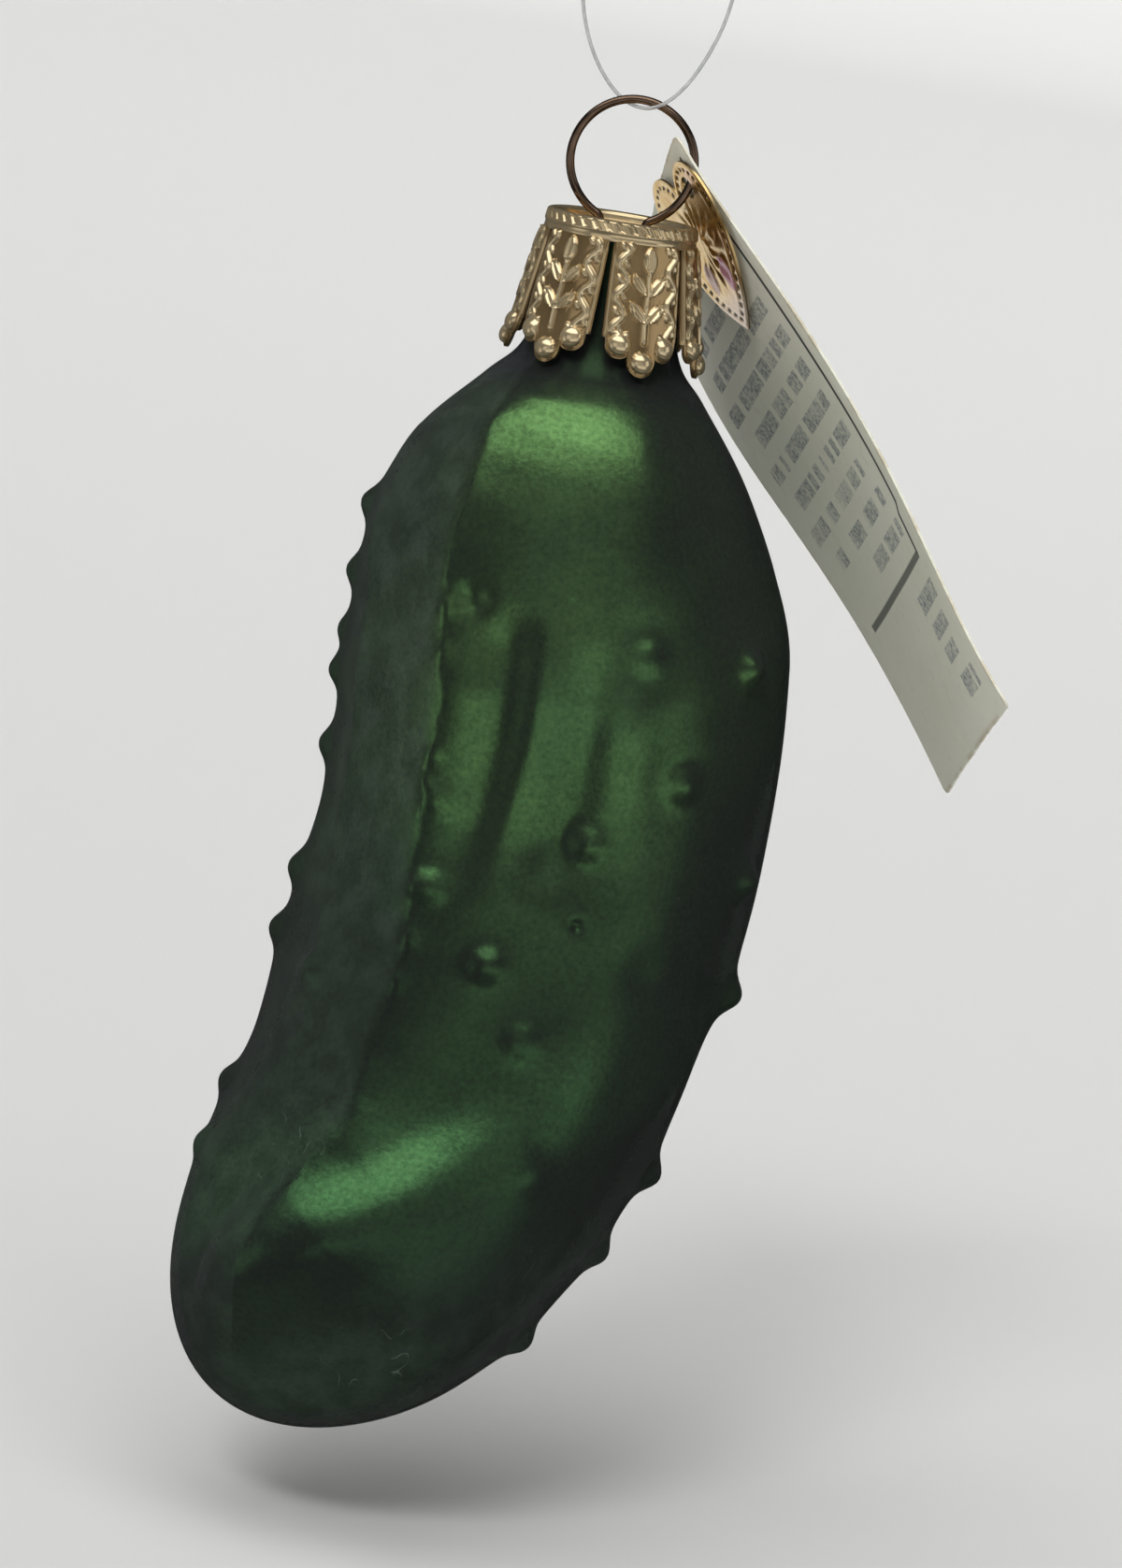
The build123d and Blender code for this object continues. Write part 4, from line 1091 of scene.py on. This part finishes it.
# ------------------------------------------------------------------ which body each piece rides on
for ob, body, node, slot in ((glass, "glass", "glass_body", "lacquered_glass"), (cap, "cap", "cap", "cap_metal"),
                             (heart, "foil_tag", "foil_tag", "foil"), (card, "paper_tag", "paper_tag", "card"),
                             (thread, "thread", "thread_loop", "thread"), (knot, "thread", "thread_knot", "thread")):
    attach(ob, body)
    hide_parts(node)

# ------------------------------------------------------------------ floor and backdrop: one pale bowl
FLOOR = -118.6
prof = [(0.0, 0.0), (0.25, 0.0), (0.6, 0.0), (1.2, 0.0), (2.2, 0.0), (3.2, 0.0)]
prof += [(3.2 + 1.5 * math.sin(q), 1.5 * (1 - math.cos(q))) for q in np.linspace(0.1, math.pi / 2, 14)]
prof += [(4.7, 2.2), (4.7, 3.2)]
bowl_v, nseg = [], 96
for r, z in prof[1:]:
    for q in np.linspace(0, 2 * math.pi, nseg, endpoint=False):
        bowl_v.append((r * math.cos(q) / MM, r * math.sin(q) / MM, FLOOR + z / MM))
bowl_f = grid_faces(len(prof) - 1, nseg, start=0)
bowl_v.append((0, 0, FLOOR))
bowl_f += [[len(bowl_v) - 1, (j + 1) % nseg, j] for j in range(nseg)]
floor = tidy(new_mesh("floor", bowl_v, bowl_f), 80.0)
fm = Mat("pale_floor")
far = fm.vmath("LENGTH", fm.coords(), out="Value")
# painted shade: the floor and backdrop darken away from the middle, standing in for light falling off
fm.set(Base_Color=fm.ramp(fm.math("DIVIDE", far, 4.0), [(0.03, (0.80, 0.80, 0.79)), (0.25, (0.76, 0.76, 0.75)), (0.75, (0.62, 0.62, 0.612))]),
       Roughness=0.9, Specular_IOR_Level=0.1)
floor.data.materials.append(fm.m)
floor.visible_glossy = False
card.visible_glossy = False

# ------------------------------------------------------------------ soft studio light
world = bpy.data.worlds.new("studio")
bpy.context.scene.world = world
world.use_nodes = True


class World(Mat):
    def __init__(self, wd):
        self.m, self.nt = wd, wd.node_tree


wd = World(world)
bg = world.node_tree.nodes["Background"]
dirn = wd.coords("Generated")
sep = wd.node("ShaderNodeSeparateXYZ")
wd.link(dirn, sep.inputs[0])
dx, dy, dz = sep.outputs
azim = wd.math("ARCTAN2", dx, wd.math("MULTIPLY", dy, -1.0))      # 0 ahead of the ornament's front, + to its right


def facing(v, lo, hi):
    n = wd.vmath("DOT_PRODUCT", dirn, tuple(unit(v)), out="Value")
    return wd.smooth(n, lo, hi)


def window(x, a, b, c, d):
    return wd.math("MULTIPLY", wd.smooth(x, a, b), wd.math("SUBTRACT", 1.0, wd.smooth(x, c, d)))


elev = wd.math("ARCSINE", dz)
DEG = math.radians
low_sides = wd.math("ADD", wd.math("MULTIPLY", window(azim, DEG(-84), DEG(-70), DEG(-60), DEG(-48)), 0.9), window(azim, DEG(-18), DEG(-8), DEG(52), DEG(80)))
low = wd.math("MULTIPLY", window(elev, DEG(-33), DEG(-22), DEG(-16), DEG(13)), low_sides)
under = wd.math("SUBTRACT", 1.0, wd.smooth(elev, DEG(-62), DEG(-42)))
high = wd.math("MULTIPLY", window(elev, DEG(32), DEG(46), DEG(72), DEG(87)), window(azim, DEG(-95), DEG(-68), DEG(38), DEG(66)))
top_box = facing((0.0, -0.12, 0.99), 0.94, 0.995)
left = facing((-0.85, 0.45, 0.10), 0.30, 0.95)
mid = wd.math("MULTIPLY", window(elev, DEG(4), DEG(12), DEG(22), DEG(32)), window(azim, DEG(-30), DEG(-8), DEG(28), DEG(48)))
total = wd.math("ADD", wd.math("MULTIPLY", low, 0.62), wd.math("MULTIPLY", high, 1.65))
total = wd.math("ADD", total, wd.math("ADD", wd.math("MULTIPLY", mid, 0.20), wd.math("MULTIPLY", under, 0.15)))
total = wd.math("ADD", total, wd.math("ADD", wd.math("MULTIPLY", top_box, 0.25), wd.math("MULTIPLY", left, 0.035)))
total = wd.math("ADD", total, 0.03)
wd.link(total, bg.inputs["Strength"])
bg.inputs["Color"].default_value = (1.0, 1.0, 0.99, 1.0)


def soft_sun(name, az, el, spread, power):
    """Very soft light from a direction: azimuth 0 is ahead of the front, + to its right; angles in degrees."""
    la = bpy.data.lights.new(name, "SUN")
    la.angle, la.energy = math.radians(spread), power
    ob = bpy.data.objects.new(name, la)
    bpy.context.scene.collection.objects.link(ob)
    a, e = math.radians(az), math.radians(el)
    d = Vector((math.sin(a) * math.cos(e), -math.cos(a) * math.cos(e), math.sin(e)))
    ob.location = d * 1.2
    ob.rotation_euler = (-d).to_track_quat("-Z", "Y").to_euler()
    ob.visible_camera = False
    ob.visible_glossy = False


def soft_panel(name, az, el, far_mm, size_mm, level, lit):
    """Square soft box turned to the ornament's top that lights the listed pieces only."""
    la = bpy.data.lights.new(name, "AREA")
    la.shape, la.size = "SQUARE", size_mm * MM
    la.energy = level * math.pi * (size_mm * MM) ** 2
    ob = bpy.data.objects.new(name, la)
    bpy.context.scene.collection.objects.link(ob)
    a, e = math.radians(az), math.radians(el)
    d = Vector((math.sin(a) * math.cos(e), -math.cos(a) * math.cos(e), math.sin(e)))
    ob.location = d * far_mm * MM
    ob.rotation_euler = (-d).to_track_quat("-Z", "Y").to_euler()
    ob.visible_camera = False
    group = bpy.data.collections.new(name + "_lit")
    for q in lit:
        group.objects.link(q)
    ob.light_linking.receiver_collection = group


soft_sun("above", -20.0, 82.0, 46.0, 0.36)
soft_sun("front", -18.0, 33.0, 20.0, 2.42)
soft_sun("side", -105.0, 20.0, 46.0, 1.10)
soft_panel("front_panel", -28.0, 4.0, 500.0, 270.0, 0.40, [cap, card, heart, wire])
soft_panel("right_panel", 74.0, 12.0, 500.0, 260.0, 0.60, [cap, wire])
soft_panel("heart_panel", -157.0, -38.0, 150.0, 130.0, 0.75, [heart])
bpy.context.scene.view_settings.view_transform = "Standard"
